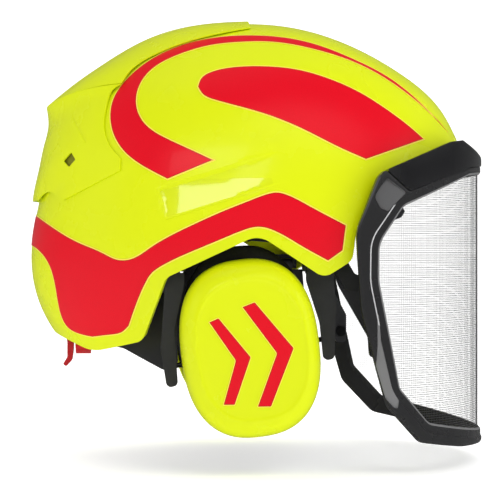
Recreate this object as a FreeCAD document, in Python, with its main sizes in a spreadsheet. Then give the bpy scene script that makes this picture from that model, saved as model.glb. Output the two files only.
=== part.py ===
import FreeCAD, Part
import math
import os
import Sketcher
from FreeCAD import Vector, Placement, Rotation

# Forestry helmet, millimetres. +X is the front, +Z is up, the wearer's right is -Y.
# The origin is the middle of the head opening, at the height of the ear canals.

os.makedirs("parts", exist_ok=True)
doc = FreeCAD.newDocument("forestry_helmet")
sheet = doc.addObject("Spreadsheet::Sheet", "Sheet")

SIZES = [
    ("half_width", 110, "outside half width of the shell"),
    ("egg_x", 2, "centre of the egg-shaped shell and visor pivot, along X"),
    ("egg_z", 42, "centre of the egg-shaped shell and visor pivot, along Z"),
    ("side_power", 2.1, "roundness of the shell across its width"),
    ("rim_power", 2.6, "roundness of the shell towards its profile"),
    ("skin", 3.5, "wall of the outer shell"),
    ("decal", 0.3, "thickness of the reflective film"),
    ("film_gap", 0.05, "glue line under films and covers"),
    ("cover_lift", 1.0, "least height of the rear covers above the shell"),
    ("cover_fade", 85, "side distance at which the rear hood has faded out"),
    ("liner_out", 4.0, "liner outside, below the shell surface"),
    ("liner_in", 18.0, "liner inside, below the shell surface"),
    ("band_length", 98, "half length inside the headband"),
    ("band_width", 78, "half width inside the headband"),
    ("band_wall", 2, "headband thickness"),
    ("sweat_wall", 3.4, "sweatband thickness"),
    ("strap_wall", 1.5, "crown strap thickness"),
    ("strap_width", 20, "crown strap width"),
    ("crown_height", 131, "top of the fore and aft strap"),
    ("cross_drop", 2.7, "top of the cross strap below the fore and aft strap"),
    ("pad_drop", 7.7, "top of the crown pad below the fore and aft strap"),
    ("pad_radius", 22, "crown pad radius"),
    ("pad_wall", 2.4, "crown pad thickness"),
    ("clip_width", 18, "harness clip width"),
    ("plate_side", 83, "pivot bracket plate, inboard face from the mid-plane"),
    ("plate_wall", 3.5, "pivot bracket plate thickness"),
    ("pivot_radius", 4, "visor pivot pin radius"),
    ("chin_radius", 3, "chin strap anchor hole radius"),
    ("post_radius", 4, "moulded post from shell to pivot bracket"),
    ("post_screw", 1.6, "bracket screw hole radius"),
    ("post_z", 50.1, "height of the moulded posts"),
    ("post_front", -10, "front post along X"),
    ("post_rear", -24, "rear post along X"),
    ("arm_side", 87, "visor arm, inboard face from the mid-plane"),
    ("arm_wall", 3.5, "visor arm thickness"),
    ("run_gap", 0.05, "running clearance on radius"),
    ("seat_side", 110, "seat of the arm foot on the visor frame"),
    ("wall_length", 96, "visor wall, front to the end of its curve"),
    ("wall_width", 115.5, "visor wall, outside half width"),
    ("wall_x", 58, "start of the visor wall's curve along X"),
    ("wall_thick", 5, "visor frame wall"),
    ("rebate", 2.4, "depth of plastic left outside the mesh"),
    ("mesh_wall", 0.4, "woven mesh thickness"),
    ("lap", 4, "lap of the mesh behind the frame"),
    ("ear_side", 94.5, "ear muff hinge from the mid-plane"),
    ("ear_z", 17, "ear muff hinge height"),
    ("leg_wall", 3.6, "ear muff leg thickness"),
    ("knuckle", 3.4, "ear muff hinge knuckle radius"),
    ("ear_pin", 1.8, "ear muff hinge pin radius"),
    ("slot", 3, "groove width in the ear muff legs"),
    ("slot_deep", 2.2, "groove depth in the ear muff legs"),
    ("travel", 10, "height travel of the ear muff"),
    ("tilt_side", 90.9, "ear muff tilt axis from the mid-plane"),
    ("tilt_pin", 1.6, "ear muff tilt pin radius"),
    ("cup_x", -7, "ear cup centre along X"),
    ("cup_z", -33, "ear cup centre along Z"),
    ("cup_lean", 7, "lean of the ear cup towards the rear, degrees"),
    ("cup_half_x", 42.3, "ear cup half width"),
    ("cup_half_z", 54.5, "ear cup half height"),
    ("cup_back", 93.5, "open edge of the ear cup from the mid-plane"),
    ("cup_face", 122, "flat face of the ear cup from the mid-plane"),
    ("cup_wall", 2.5, "ear cup wall"),
    ("plate_back", 88.6, "ear cup back plate, inboard face"),
    ("seal_back", 76, "ear cushion, face against the head"),
    ("knob_radius", 22, "size knob radius"),
    ("knob_z", -20, "size knob height"),
    ("knob_front", -106.1, "size knob, face against its housing"),
    ("knob_deep", 9.9, "size knob depth"),
    ("hub_radius", 4, "size knob hub radius"),
    ("stud_radius", 2.5, "threaded stud on the nape cradle"),
    ("lever_x", -120, "release lever pivot along X"),
    ("lever_z", -29, "release lever pivot height"),
    ("lever_wide", 12, "release lever width"),
]
for row, (alias, value, note) in enumerate(SIZES, 1):
    sheet.set(f"A{row}", note)
    sheet.set(f"B{row}", str(value))
    sheet.setAlias(f"B{row}", alias)
doc.recompute()

UP = Vector(0, 0, 1)
ACROSS = Vector(0, 1, 0)
FORWARD = Vector(1, 0, 0)
SIDES = (("right", -1), ("left", 1))
nodes = []


def size(alias):
    return float(sheet.get(alias))


# ---------------------------------------------------------------- outlines

def rounded(corners):
    """Edges of a closed outline: straight runs, with an arc at each corner (a, b, radius)."""
    turns = []
    count = len(corners)
    for i, (a, b, radius) in enumerate(corners):
        here = Vector(a, b, 0)
        before = Vector(corners[i - 1][0], corners[i - 1][1], 0) - here
        after = Vector(corners[(i + 1) % count][0], corners[(i + 1) % count][1], 0) - here
        before.normalize()
        after.normalize()
        half = before.getAngle(after) / 2
        run = radius / math.tan(half)
        inward = before + after
        inward.normalize()
        middle = here + inward * (radius / math.sin(half) - radius)
        turns.append((here + before * run, middle, here + after * run))
    edges = []
    for i, (start, middle, end) in enumerate(turns):
        if corners[i][2] > 0:
            edges.append(Part.Arc(start, middle, end))
        following = turns[(i + 1) % count][0]
        if end.distanceToPoint(following) > 1e-6:
            edges.append(Part.LineSegment(end, following))
    return edges


def runs(*pieces):
    """Edges of a closed outline made of smooth runs that meet at sharp corners."""
    edges = []
    for points in pieces:
        spots = [Vector(a, b, 0) for a, b in points]
        if len(spots) == 2:
            edges.append(Part.LineSegment(*spots))
        else:
            curve = Part.BSplineCurve()
            curve.interpolate(Points=spots)
            edges.append(curve)
    return edges


def side_face(edges):
    """A flat face in the XZ plane from edges drawn as (x, z)."""
    face = Part.Face(Part.Wire([edge.toShape() for edge in edges]))
    face.rotate(Vector(0, 0, 0), FORWARD, 90)
    return face


def across(face, start, end):
    """A face of the XZ plane pulled along Y between two side distances."""
    moved = face.copy()
    moved.translate(ACROSS * start)
    return moved.extrude(ACROSS * (end - start))


def prism(edges, start=-140, end=140):
    return across(side_face(edges), start, end)


def grown(edges, distance):
    """The flat face of an outline, grown on all sides."""
    return side_face(edges).makeOffset2D(distance)


# ---------------------------------------------------------------- objects

def feature(label, shape):
    item = doc.addObject("Part::Feature", label)
    item.Label = label
    item.Shape = shape
    item.Placement = Placement()
    nodes.append(item)
    return item


def body(label):
    item = doc.addObject("PartDesign::Body", label)
    item.Label = label
    nodes.append(item)
    return item


def sketch(owner, role, name, edges=()):
    item = owner.newObject("Sketcher::SketchObject", name)
    for axis in owner.Origin.OriginFeatures:
        if axis.Role == role:
            item.AttachmentSupport = [(axis, "")]
    item.MapMode = "FlatFace"
    for edge in edges:
        item.addGeometry(edge, False)
    return item


def circle(owner, role, name, a, b, radius):
    """A sketch of one circle whose radius follows the sheet."""
    item = sketch(owner, role, name)
    spot = Part.Circle(Vector(a, b, 0), UP, size(radius))
    item.addGeometry(spot, False)
    item.addConstraint(Sketcher.Constraint("Radius", 0, size(radius)))
    item.renameConstraint(0, "radius")
    item.setExpression("Constraints.radius", "Sheet." + radius)
    return item


def pad(owner, name, profile, length, reverse=False):
    item = owner.newObject("PartDesign::Pad", name)
    item.Profile = profile
    item.Reversed = reverse
    if isinstance(length, str):
        item.setExpression("Length", length)
    else:
        item.Length = length
    return item


def pocket(owner, name, profile, length=None, both=False, reverse=False):
    item = owner.newObject("PartDesign::Pocket", name)
    item.Profile = profile
    item.Reversed = reverse
    if length is None:
        item.Type = 1
    elif isinstance(length, str):
        item.setExpression("Length", length)
    else:
        item.Length = length
    if both:
        item.Midplane = True
    return item


def side_body(label, side, distance):
    """A body drawn in the XZ plane and set to one side of the mid-plane."""
    item = body(label)
    sign = "-" if side < 0 else ""
    item.setExpression("Placement.Base.y", sign + "Sheet." + distance)
    return item


def rod(radius, length, base, axis):
    return Part.makeCylinder(radius, length, base, axis)


def block(low, high):
    return Part.makeBox(high[0] - low[0], high[1] - low[1], high[2] - low[2], Vector(*low))


def side_block(side, x, y, z):
    """A box whose side distances are given from the mid-plane outwards."""
    near, far = sorted((side * y[0], side * y[1]))
    return block((x[0], near, z[0]), (x[1], far, z[1]))


def side_rod(side, radius, x, z, near, far):
    """A round bar across the helmet, between two distances from the mid-plane."""
    return rod(radius, far - near, Vector(x, side * near, z), ACROSS * side)


def both_sides(make):
    return Part.makeCompound([make(side) for name, side in SIDES])


# ---------------------------------------------------------------- the shell surface

# Profile of the shell in the mid-plane (x, z), from the front rim over the crown and
# down the back. Below the rim it only closes the egg and is cut away.
PROFILE = [
    (138.2, 99.2), (127, 120), (100.5, 144), (67, 162.5), (33.5, 173.5), (0, 177),
    (-33.5, 174), (-67, 163.5), (-98, 145), (-109.8, 133.8), (-120, 121), (-128.3, 106.9),
    (-134, 92), (-137, 78), (-139.5, 62),
    (-143.5, 42), (-145, 15), (-140, -8), (-130, -27), (-112, -48), (-84, -72),
    (-45, -92), (0, -100), (50, -95), (95, -75), (130, -38), (147, 10), (150, 50), (146.2, 80),
]
# The same stations for the rear covers, which rise into a hood at the back of the crown.
HOOD = dict(zip(PROFILE[5:15], [
    (0, 178), (-33.5, 175.4), (-67.6, 166.2), (-100.3, 147), (-120, 132.8), (-134.6, 120.6),
    (-133.4, 108.4), (-136.3, 95), (-139.6, 79), (-143.4, 60.5),
]))
STEPS = (0.2, 0.4, 0.55, 0.68, 0.79, 0.88, 0.94, 0.98, 0.996, 0.9993)


def section(distance, half, grow, hood):
    """The closed curve of the egg at one side distance."""
    middle = Vector(size("egg_x"), 0, size("egg_z"))
    shrink = (1 - (abs(distance) / half) ** size("side_power")) ** (1 / size("rim_power"))
    fade = max(0, 1 - (distance / size("cover_fade")) ** 2) ** 2
    spots = []
    for x, z in PROFILE:
        spoke = Vector(x, 0, z) - middle
        if hood and (x, z) in HOOD:
            raised = Vector(HOOD[x, z][0], 0, HOOD[x, z][1]) - middle
            spoke = spoke * (1 - fade) + raised * fade
        spoke = spoke * (1 + grow / spoke.Length)
        spot = middle + spoke * shrink
        spots.append(Vector(spot.x, distance, spot.z))
    curve = Part.BSplineCurve()
    curve.interpolate(Points=spots, PeriodicFlag=True)
    return Part.Wire(curve.toShape())


def egg(grow, hood=False):
    """The solid egg whose surface is the shell's, moved outwards by grow."""
    half = size("half_width") + grow
    stations = [-step for step in reversed(STEPS)] + [0] + list(STEPS)
    return Part.makeLoft([section(step * half, half, grow, hood) for step in stations], True)


surface = egg(0)
inner_surface = egg(-size("skin"))
film_base = egg(size("film_gap"))

# Lower edge of the shell, from the front brow over the ears to the nape.
RIM = [
    (165, 112, 0), (75.5, 73.8, 10), (58.2, 42.5, 30), (55.4, 20.5, 8), (37.8, 9.6, 9),
    (-2.4, 36, 14), (-58.5, 9.8, 8), (-72.6, -29.5, 7), (-104, -37.6, 20), (-165, -12, 0),
    (-165, -140, 0), (165, -140, 0),
]
below_rim = prism(rounded(RIM))

# ---------------------------------------------------------------- shell and covers

VENT_SLOTS = [(-58, -22, 8), (-58, -22, 30), (-108, -84, 12), (-108, -84, 36)]
vents = []
for back, front, offset in VENT_SLOTS:
    for name, side in SIDES:
        vents.append(side_block(side, (back, front), (offset, offset + 9), (90, 190)))

posts = []
post_holes = []
for name, side in SIDES:
    for x in (size("post_front"), size("post_rear")):
        start = size("plate_side") + size("plate_wall") + 0.1
        posts.append(side_rod(side, size("post_radius"), x, size("post_z"), start, 108))
        post_holes.append(side_rod(side, size("post_screw"), x, size("post_z"), start - 1, 100))

skin = surface.cut(inner_surface).cut(below_rim).cut(vents)
posts = [post.common(egg(-1)) for post in posts]
feature("outer_shell", skin.fuse(posts).cut(post_holes))

hollow = egg(size("cover_lift") - 2.2, hood=True).common(block((-150, -30, 66), (-112, 30, 117)))
cover_layer = egg(size("cover_lift"), hood=True).cut(film_base).cut(hollow)
CROWN_COVER = runs(
    [(-2.5, 190), (-2.9, 170.1)],
    [(-2.9, 170.1), (-35.6, 162.1), (-66, 150.5), (-82, 138.5), (-89.5, 129.5)],
    [(-89.5, 129.5), (-98, 134), (-138, 108)],
    [(-138, 108), (-165, 108)],
    [(-165, 108), (-165, 190)],
    [(-165, 190), (-2.5, 190)],
)
REAR_PANEL = runs(
    [(-90.3, 128.3), (-94.5, 119), (-96.4, 108), (-93.4, 92.6), (-86, 83)],
    [(-86, 83), (-86.4, 75.4)],
    [(-86.4, 75.4), (-121.6, 58.2)],
    [(-121.6, 58.2), (-127.1, 62), (-132.8, 64), (-140, 59)],
    [(-140, 59), (-165, 59)],
    [(-165, 59), (-165, 107)],
    [(-165, 107), (-138, 107)],
    [(-138, 107), (-98, 132.8), (-90.3, 128.3)],
)
DIAMOND = rounded([(-117.2, 88.4, 0.6), (-114.2, 83.4, 0.6), (-118.4, 78.8, 0.6), (-122.2, 83.1, 0.6)])
feature("crown_vent_cover", cover_layer.common(prism(CROWN_COVER)))
recess = prism(DIAMOND, -140, -35).fuse(prism(DIAMOND, 35, 140))
feature("rear_vent_panel", cover_layer.common(prism(REAR_PANEL)).cut(recess))

liner = egg(-size("liner_out")).cut(egg(-size("liner_in")))
LINER_EDGE = [
    (165, 116, 0), (84, 81, 8), (30, 72, 20), (-62, 72, 14), (-84, -14, 10), (-165, 6, 0),
    (-165, -140, 0), (165, -140, 0),
]
liner_slots = []
for name, side in SIDES:
    liner_slots.append(side_block(side, (-60, 60), (34, 44), (100, 190)))
feature("inner_liner", liner.cut(prism(rounded(LINER_EDGE))).cut(liner_slots))

# ---------------------------------------------------------------- reflective films

film = egg(size("film_gap") + size("decal")).cut(film_base)


def film_pair(label, edges, inner):
    """One outline of film on both sides of the shell."""
    face = side_face(edges)
    feature(label, both_sides(lambda side: film.common(across(face, side * inner, side * 140))))


STRIPE = runs(
    [(-57.4, 69.1), (-71.9, 77.1), (-83.5, 86.3), (-90.4, 97.5), (-92.7, 108.9), (-91.1, 120.4),
     (-82.6, 134.1), (-66.5, 147.9), (-46.3, 157.4), (-26, 162.1), (-5.7, 163.5), (21.3, 161.8),
     (41.6, 156.9), (62.1, 148.8), (85.6, 137), (105.9, 120.5), (124.8, 102.8)],
    [(124.8, 102.8), (100.4, 122.8), (85, 134), (64.5, 144.9), (36, 153.6), (10.4, 157.9),
     (-9.8, 157.7), (-30, 155.4), (-50.1, 149.1), (-65.1, 140.7), (-73.2, 130.2), (-75.6, 119.5),
     (-73.7, 110.1), (-67.4, 101.8), (-57.8, 95.6), (-43.4, 88.6), (-28.1, 81.2)],
    [(-28.1, 81.2), (-57.4, 69.1)],
)
BROW = runs(
    [(-38.9, 127.2), (-36.4, 133.2), (-29.4, 137.6), (-15.1, 140.6), (3.6, 141.2), (25.5, 139),
     (44.3, 133.6), (63.1, 125.4), (78.9, 115.7), (95, 104.2), (105, 96.2)],
    [(105, 96.2), (64.2, 81.7)],
    [(64.2, 81.7), (48, 88.5), (23.4, 100.6), (-0.9, 110.1), (-28.2, 118), (-36, 122), (-38.9, 127.2)],
)
BAND = runs(
    [(-165, 62), (-138.5, 48.1), (-123.9, 38.7), (-111, 31.8), (-96, 25.4), (-87.4, 21.6),
     (-80, 21.9), (-68, 28.9), (-52.9, 37.7), (-37.9, 44.9), (-22.8, 51.6), (-7.7, 57.6),
     (2, 61.2), (9, 62.4), (16, 60.6), (28.9, 54.1), (51.7, 42.3)],
    [(51.7, 42.3), (49.6, 26.2)],
    [(49.6, 26.2), (40, 19.5)],
    [(40, 19.5), (22.7, 28.9), (7.5, 37.4), (-2.4, 40), (-12, 37.8), (-22.8, 33.4), (-37.9, 27.1),
     (-60, 16.8), (-66.5, 12), (-69.8, 6.8), (-80.1, -20)],
    [(-80.1, -20), (-84.6, -24.4), (-92.5, -26.4), (-103.3, -28.1)],
    [(-103.3, -28.1), (-118.8, -23.2), (-126.3, -2.3), (-134, 21.7), (-142.3, 28.7), (-165, 32)],
    [(-165, 32), (-165, 62)],
)
film_pair("crown_stripe_film", STRIPE, 8)
film_pair("brow_panel_film", BROW, 8)
film_pair("lower_band_film", BAND, 0.2)

# ---------------------------------------------------------------- headband and crown straps


def oval_ring(owner, name, length, width, wall, base, height):
    """An oval wall standing on a level plane."""
    outline = sketch(owner, "XY_Plane", name + "_plan")
    outline.AttachmentOffset = Placement(Vector(0, 0, base), Rotation())
    outer = Part.Ellipse(Vector(0, 0, 0), length + wall, width + wall)
    inner = Part.Ellipse(Vector(0, 0, 0), length, width)
    outline.addGeometry(outer, False)
    outline.addGeometry(inner, False)
    return pad(owner, name + "_wall", outline, height)


band = body("headband")
oval_ring(band, "band", size("band_length"), size("band_width"), size("band_wall"), -50, 140)
BAND_TOP = [
    (120, 80, 0), (15, 62, 5), (11, 85, 3), (-11, 85, 3), (-15, 59, 5), (-42, 53, 20), (-120, -12, 0),
    (-120, 110, 0), (120, 110, 0),
]
BAND_FOOT = [
    (120, 54, 0), (42, 38, 20), (0, 34.6, 20), (-40, 30, 20), (-120, -50, 0), (-120, -70, 0), (120, -70, 0),
]
pocket(band, "band_top_cut", sketch(band, "XZ_Plane", "band_top", rounded(BAND_TOP)), both=True)
pocket(band, "band_foot_cut", sketch(band, "XZ_Plane", "band_foot", rounded(BAND_FOOT)), both=True)
hub_hole = sketch(band, "YZ_Plane", "band_hub")
hub_hole.addGeometry(Part.Circle(Vector(0, size("knob_z"), 0), UP, size("hub_radius") + 1), False)
band_hub_cut = pocket(band, "band_hub_cut", hub_hole, 130)

sweat = body("sweatband")
oval_ring(sweat, "sweat", size("band_length") - 3.5, size("band_width") - 3.5, size("sweat_wall"), 30, 60)
SWEAT_TOP = [(120, 71, 0), (20, 53, 0), (-120, 53, 0), (-120, 110, 0), (120, 110, 0)]
SWEAT_FOOT = [(120, 59, 0), (24, 40, 0), (24, 100, 0), (-120, 100, 0), (-120, 0, 0), (120, 0, 0)]
pocket(sweat, "sweat_top_cut", sketch(sweat, "XZ_Plane", "sweat_top", rounded(SWEAT_TOP)), both=True)
pocket(sweat, "sweat_foot_cut", sketch(sweat, "XZ_Plane", "sweat_foot", rounded(SWEAT_FOOT)), both=True)


def strap(label, role, start, top, end):
    """A crown strap: a thin arch through three points, pulled to the strap width."""
    item = body(label)
    thick = size("strap_wall")
    inner_start = (start[0] * (1 - thick / abs(start[0])), start[1])
    inner_end = (end[0] * (1 - thick / abs(end[0])), end[1])
    outer = Part.Arc(Vector(*start, 0), Vector(*top, 0), Vector(*end, 0))
    inner = Part.Arc(Vector(*inner_start, 0), Vector(top[0], top[1] - thick, 0), Vector(*inner_end, 0))
    ends = [
        Part.LineSegment(Vector(*end, 0), Vector(*inner_end, 0)),
        Part.LineSegment(Vector(*inner_start, 0), Vector(*start, 0)),
    ]
    arch = pad(item, label + "_arch", sketch(item, role, label + "_side", [outer, inner] + ends), "Sheet.strap_width")
    arch.Midplane = True
    return item


strap("crown_strap_long", "XZ_Plane", (96.6, 73), (0, size("crown_height")), (-94.5, -2))
strap("crown_strap_cross", "YZ_Plane", (77, 66), (0, size("crown_height") - size("cross_drop")), (-77, 66))

crown_pad = body("crown_pad")
crown_pad.Placement = Placement(Vector(0, 0, 0), Rotation())
crown_pad.setExpression("Placement.Base.z", "Sheet.crown_height - Sheet.pad_drop - Sheet.pad_wall")
pad(crown_pad, "pad_disc", circle(crown_pad, "XY_Plane", "pad_plan", 0, 0, "pad_radius"), "Sheet.pad_wall")

liner_inside = egg(-size("liner_in") - 0.1)
half_clip = size("clip_width") / 2
band_x = size("band_length") + size("band_wall") + 0.1
band_y = size("band_width") + size("band_wall") + 0.1
clips = [block((band_x, -half_clip, 66), (band_x + 3.5, half_clip, 130))]
for name, side in SIDES:
    clips.append(side_block(side, (-half_clip, half_clip), (band_y, 120), (75, 83)))
feature("harness_clips", Part.makeCompound([clip.common(liner_inside) for clip in clips]))

# ---------------------------------------------------------------- brackets on the shell

PIVOT = Vector(size("egg_x"), 0, size("egg_z"))
PLATE = [(-31, 33, 5), (13, 33, 8), (13, 57, 8), (-31, 57, 5)]
CHIN = (-22, 39)


def pivot_bracket(side):
    near = side * size("plate_side")
    plate = prism(rounded(PLATE), near, near + side * size("plate_wall"))
    start = size("plate_side") - 1
    holes = [side_rod(side, size("pivot_radius") + 0.02, PIVOT.x, PIVOT.z, start, start + 9)]
    holes.append(side_rod(side, size("chin_radius"), CHIN[0], CHIN[1], start, start + 9))
    for x in (size("post_front"), size("post_rear")):
        holes.append(side_rod(side, size("post_screw") + 0.2, x, size("post_z"), start, start + 9))
    return plate.cut(holes)


feature("visor_pivot_brackets", both_sides(pivot_bracket))


def bracket_screws(side):
    shape = []
    for x in (size("post_front"), size("post_rear")):
        head = side_rod(side, 3.2, x, size("post_z"), size("plate_side") - 2.2, size("plate_side") - 0.05)
        shaft = side_rod(side, size("post_screw") - 0.03, x, size("post_z"), size("plate_side") - 1, 98)
        shape.append(head.fuse(shaft))
    return Part.makeCompound(shape)


feature("bracket_screws", both_sides(bracket_screws))


def pivot_pin(side):
    arm_out = size("arm_side") + size("arm_wall")
    shaft = side_rod(side, size("pivot_radius"), PIVOT.x, PIVOT.z, size("plate_side") - 1, arm_out + 0.4)
    head = side_rod(side, 6, PIVOT.x, PIVOT.z, arm_out + 0.3, arm_out + 2)
    tail = side_rod(side, 5.5, PIVOT.x, PIVOT.z, size("plate_side") - 1.6, size("plate_side") - 0.05)
    return shaft.fuse(head).fuse(tail)


feature("visor_pivot_pins", both_sides(pivot_pin))

# Guide blocks hold the visor arms in line where they leave the shell.
GUIDE = [(45, 25, 2), (53.5, 25, 3), (55, 14, 4), (63, 10, 2), (63, 1, 3), (53, 2, 6), (47, 11, 6)]
inside = egg(-size("skin") - 0.1)


def arm_guide(side):
    arm_out = size("arm_side") + size("arm_wall")
    plate = prism(rounded(GUIDE), side * (arm_out + 0.5), side * (arm_out + 3))
    foot = side_block(side, (46.5, 53), (arm_out + 0.5, 115), (17, 25)).common(inside)
    return plate.fuse(foot)


feature("visor_arm_guides", both_sides(arm_guide))

# Each ear muff hangs on two short hinges that share one axis along X.
HINGES = ((-52.5, 6), (33, 8))


def hinge_clevis(side, x, span):
    reach = size("knuckle") + 0.3
    low, high = size("ear_side") - size("knuckle"), size("ear_side") + size("knuckle")
    ears = []
    for start in (x - span / 2 - 3.3, x + span / 2 + 0.3):
        lug = side_block(side, (start, start + 3), (low, 115), (size("ear_z"), size("ear_z") + reach + 3))
        tip = rod(size("knuckle"), 3, Vector(start, side * size("ear_side"), size("ear_z")), FORWARD)
        ears.append(lug.fuse(tip))
    top = size("ear_z") + reach
    bridge = side_block(side, (x - span / 2 - 3.3, x + span / 2 + 3.3), (low, 115), (top, top + 3))
    clevis = bridge.fuse(ears).common(inside)
    bore = rod(size("ear_pin") + 0.01, span + 8, Vector(x - span / 2 - 4, side * size("ear_side"), size("ear_z")), FORWARD)
    return clevis.cut(bore)


def hinge_pin(side, x, span):
    start = Vector(x - span / 2 - 3.3, side * size("ear_side"), size("ear_z"))
    return rod(size("ear_pin"), span + 6.6, start, FORWARD)


feature("ear_hinge_brackets", both_sides(
    lambda side: Part.makeCompound([hinge_clevis(side, x, span) for x, span in HINGES])))
feature("ear_hinge_pins", both_sides(
    lambda side: Part.makeCompound([hinge_pin(side, x, span) for x, span in HINGES])))

# ---------------------------------------------------------------- visor


def wall_solid(inset):
    """Everything inside the visor's curved wall, which is half an oval in plan."""
    length = size("wall_length") - inset
    width = size("wall_width") - inset
    start = size("wall_x")
    oval = Part.Ellipse(Vector(start, width, 0), Vector(start + length, 0, 0), Vector(start, 0, 0))
    shape = Part.ArcOfEllipse(oval, 0, math.pi).toShape()
    back = 20 - inset
    first, last = shape.Vertexes[0].Point, shape.Vertexes[-1].Point
    lines = [
        Part.makeLine(last, Vector(back, last.y, 0)),
        Part.makeLine(Vector(back, last.y, 0), Vector(back, first.y, 0)),
        Part.makeLine(Vector(back, first.y, 0), first),
    ]
    plan = Part.Face(Part.Wire([shape] + lines))
    plan.translate(UP * -130)
    return plan.extrude(UP * 260)


FRAME = [
    (74.6, 75.4, 2), (90, 62.5, 3), (136, 79, 12), (165, 84.2, 0), (165, -99.5, 0), (128, -96.8, 30), (99, -91.5, 10),
    (76.4, -68.6, 12), (69.6, -46, 25), (59.6, -10, 60), (56.3, 38, 25), (70, 71, 8),
]
WINDOW = [
    (165, 78.6, 0), (165, -92.5, 0), (104, -79.5, 8), (84.5, -57.5, 6), (71, 8, 40), (71.3, 31, 18), (87, 53.5, 10),
    (136, 74.2, 12),
]
BAR = [
    (75.4, 75.6, 1), (119, 94.2, 4), (129, 96, 1.5), (151, 86.4, 3), (165, 86.2, 0), (165, 84.6, 0), (136, 79.4, 12),
    (90.4, 62.9, 2),
]

outer_wall = wall_solid(0)
frame_wall = outer_wall.cut(wall_solid(size("wall_thick")))
window = prism(rounded(WINDOW))
lapped = across(grown(rounded(WINDOW), size("lap")), -140, 140)
laid = across(grown(rounded(WINDOW), size("lap") - 0.2), -140, 140)
seen = across(grown(rounded(WINDOW), 0.6), -140, 140)
rebate = wall_solid(size("rebate")).common(lapped)
seats = [side_block(side, (67, 79), (90, size("seat_side")), (-42, -22)) for name, side in SIDES]
FOOT = (72, -32)
foot_holes = [side_rod(side, 2, FOOT[0], FOOT[1], 108, 112.4) for name, side in SIDES]
frame = frame_wall.common(prism(rounded(FRAME))).cut(window).cut(rebate).cut(seats).cut(foot_holes)
feature("visor_frame", frame)

mesh_out = size("rebate") + 0.05
mesh_in = mesh_out + size("mesh_wall")
feature("visor_mesh", wall_solid(mesh_out).cut(wall_solid(mesh_in)).common(laid).cut(seats))
ring = wall_solid(mesh_in + 0.05).cut(wall_solid(size("wall_thick")))
feature("mesh_retainer", ring.common(laid).cut(seen).cut(seats))

brow = outer_wall.common(prism(rounded(BAR))).cut(egg(1.6))
channel = wall_solid(4).common(across(grown(rounded(BAR), -4), -140, 140))
feature("visor_brow_bar", brow.cut(channel))

ARM = [
    (-5.5, 49.6, 5), (42, 41, 10), (61, 8, 15), (76, -20, 4), (76, -40, 3),
    (68, -40, 3), (67, -27, 3), (49, 4, 12), (38, 31, 9), (6, 33.5, 6), (-5.5, 34.4, 5),
]
POST = [(68.5, -39.5, 2), (75.5, -39.5, 2), (75.5, -24, 2), (68.5, -24, 2)]
for name, side in SIDES:
    arm = side_body("visor_arm_" + name, side, "arm_side")
    pad(arm, name + "_arm_plate", sketch(arm, "XZ_Plane", name + "_arm_side", rounded(ARM)), "Sheet.arm_wall", side > 0)
    post = sketch(arm, "XZ_Plane", name + "_arm_foot", rounded(POST))
    pad(arm, name + "_arm_post", post, "Sheet.seat_side - Sheet.arm_side - 0.05", side > 0)
    bore = sketch(arm, "XZ_Plane", name + "_arm_bore")
    bore.addGeometry(Part.Circle(Vector(PIVOT.x, PIVOT.z, 0), UP, size("pivot_radius") + size("run_gap")), False)
    pocket(arm, name + "_arm_pivot", bore, 12, reverse=side < 0)
    screw = sketch(arm, "XZ_Plane", name + "_arm_screw")
    screw.addGeometry(Part.Circle(Vector(FOOT[0], FOOT[1], 0), UP, 2), False)
    pocket(arm, name + "_arm_screw_hole", screw, 60, reverse=side < 0)


def foot_screw(side):
    head = side_rod(side, 3.6, FOOT[0], FOOT[1], size("arm_side") - 2, size("arm_side") - 0.05)
    shaft = side_rod(side, 1.95, FOOT[0], FOOT[1], size("arm_side") - 1, 112.2)
    return head.fuse(shaft)


feature("visor_screws", both_sides(foot_screw))

LATCH = [(84, 55, 1.5), (89, 51, 2), (87, 46.5, 2), (82, 44.5, 1.5)]


def latch(side):
    slice_out = wall_solid(size("rebate") - 0.6).cut(wall_solid(size("rebate")))
    return slice_out.common(prism(rounded(LATCH), side * 60, side * 140)).common(window)


feature("mesh_latches", both_sides(latch))

# ---------------------------------------------------------------- ear muffs

REAR_LEG = [
    (-58, 21, 3), (-47, 21, 3), (-47, 6, 8), (-53.2, -22, 12), (-50.8, -56, 3), (-57.6, -57.6, 3),
    (-61.4, -34, 10), (-58.9, 4, 10),
]
FRONT_LEG = [
    (28, 21, 3), (40, 21, 3), (44.6, 13, 6), (46.4, -8, 15), (45.4, -40, 3), (38.8, -41.5, 3), (36.4, -18, 20),
    (28, 8, 10),
]
REAR_PIN = (-54.4, -44.6)
FRONT_PIN = (42.2, -27.6)
span_x = FRONT_PIN[0] - REAR_PIN[0]
span_z = FRONT_PIN[1] - REAR_PIN[1]
TILT = Vector(span_x, 0, span_z) * (1 / math.hypot(span_x, span_z))


def oval(half_x, half_z, x=None, z=None, power=2.5):
    """Points of a leaning oval in the XZ plane."""
    x = size("cup_x") if x is None else x
    z = size("cup_z") if z is None else z
    lean = math.radians(size("cup_lean"))
    spots = []
    for i in range(24):
        turn = math.tau * i / 24
        across_oval = half_x * math.copysign(abs(math.cos(turn)) ** (2 / power), math.cos(turn))
        along_oval = half_z * math.copysign(abs(math.sin(turn)) ** (2 / power), math.sin(turn))
        spots.append((
            x + across_oval * math.cos(lean) - along_oval * math.sin(lean),
            z + across_oval * math.sin(lean) + along_oval * math.cos(lean),
        ))
    return spots


def oval_wire(spots, distance):
    curve = Part.BSplineCurve()
    curve.interpolate(Points=[Vector(x, distance, z) for x, z in spots], PeriodicFlag=True)
    return Part.Wire(curve.toShape())


def oval_plate(spots, near, far):
    return Part.Face(oval_wire(spots, near)).extrude(ACROSS * (far - near))


DOME = ((0, 1), (7, 1), (15, 0.985), (21, 0.945), (25, 0.885), (27.4, 0.825), (28.5, 0.77))


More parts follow.
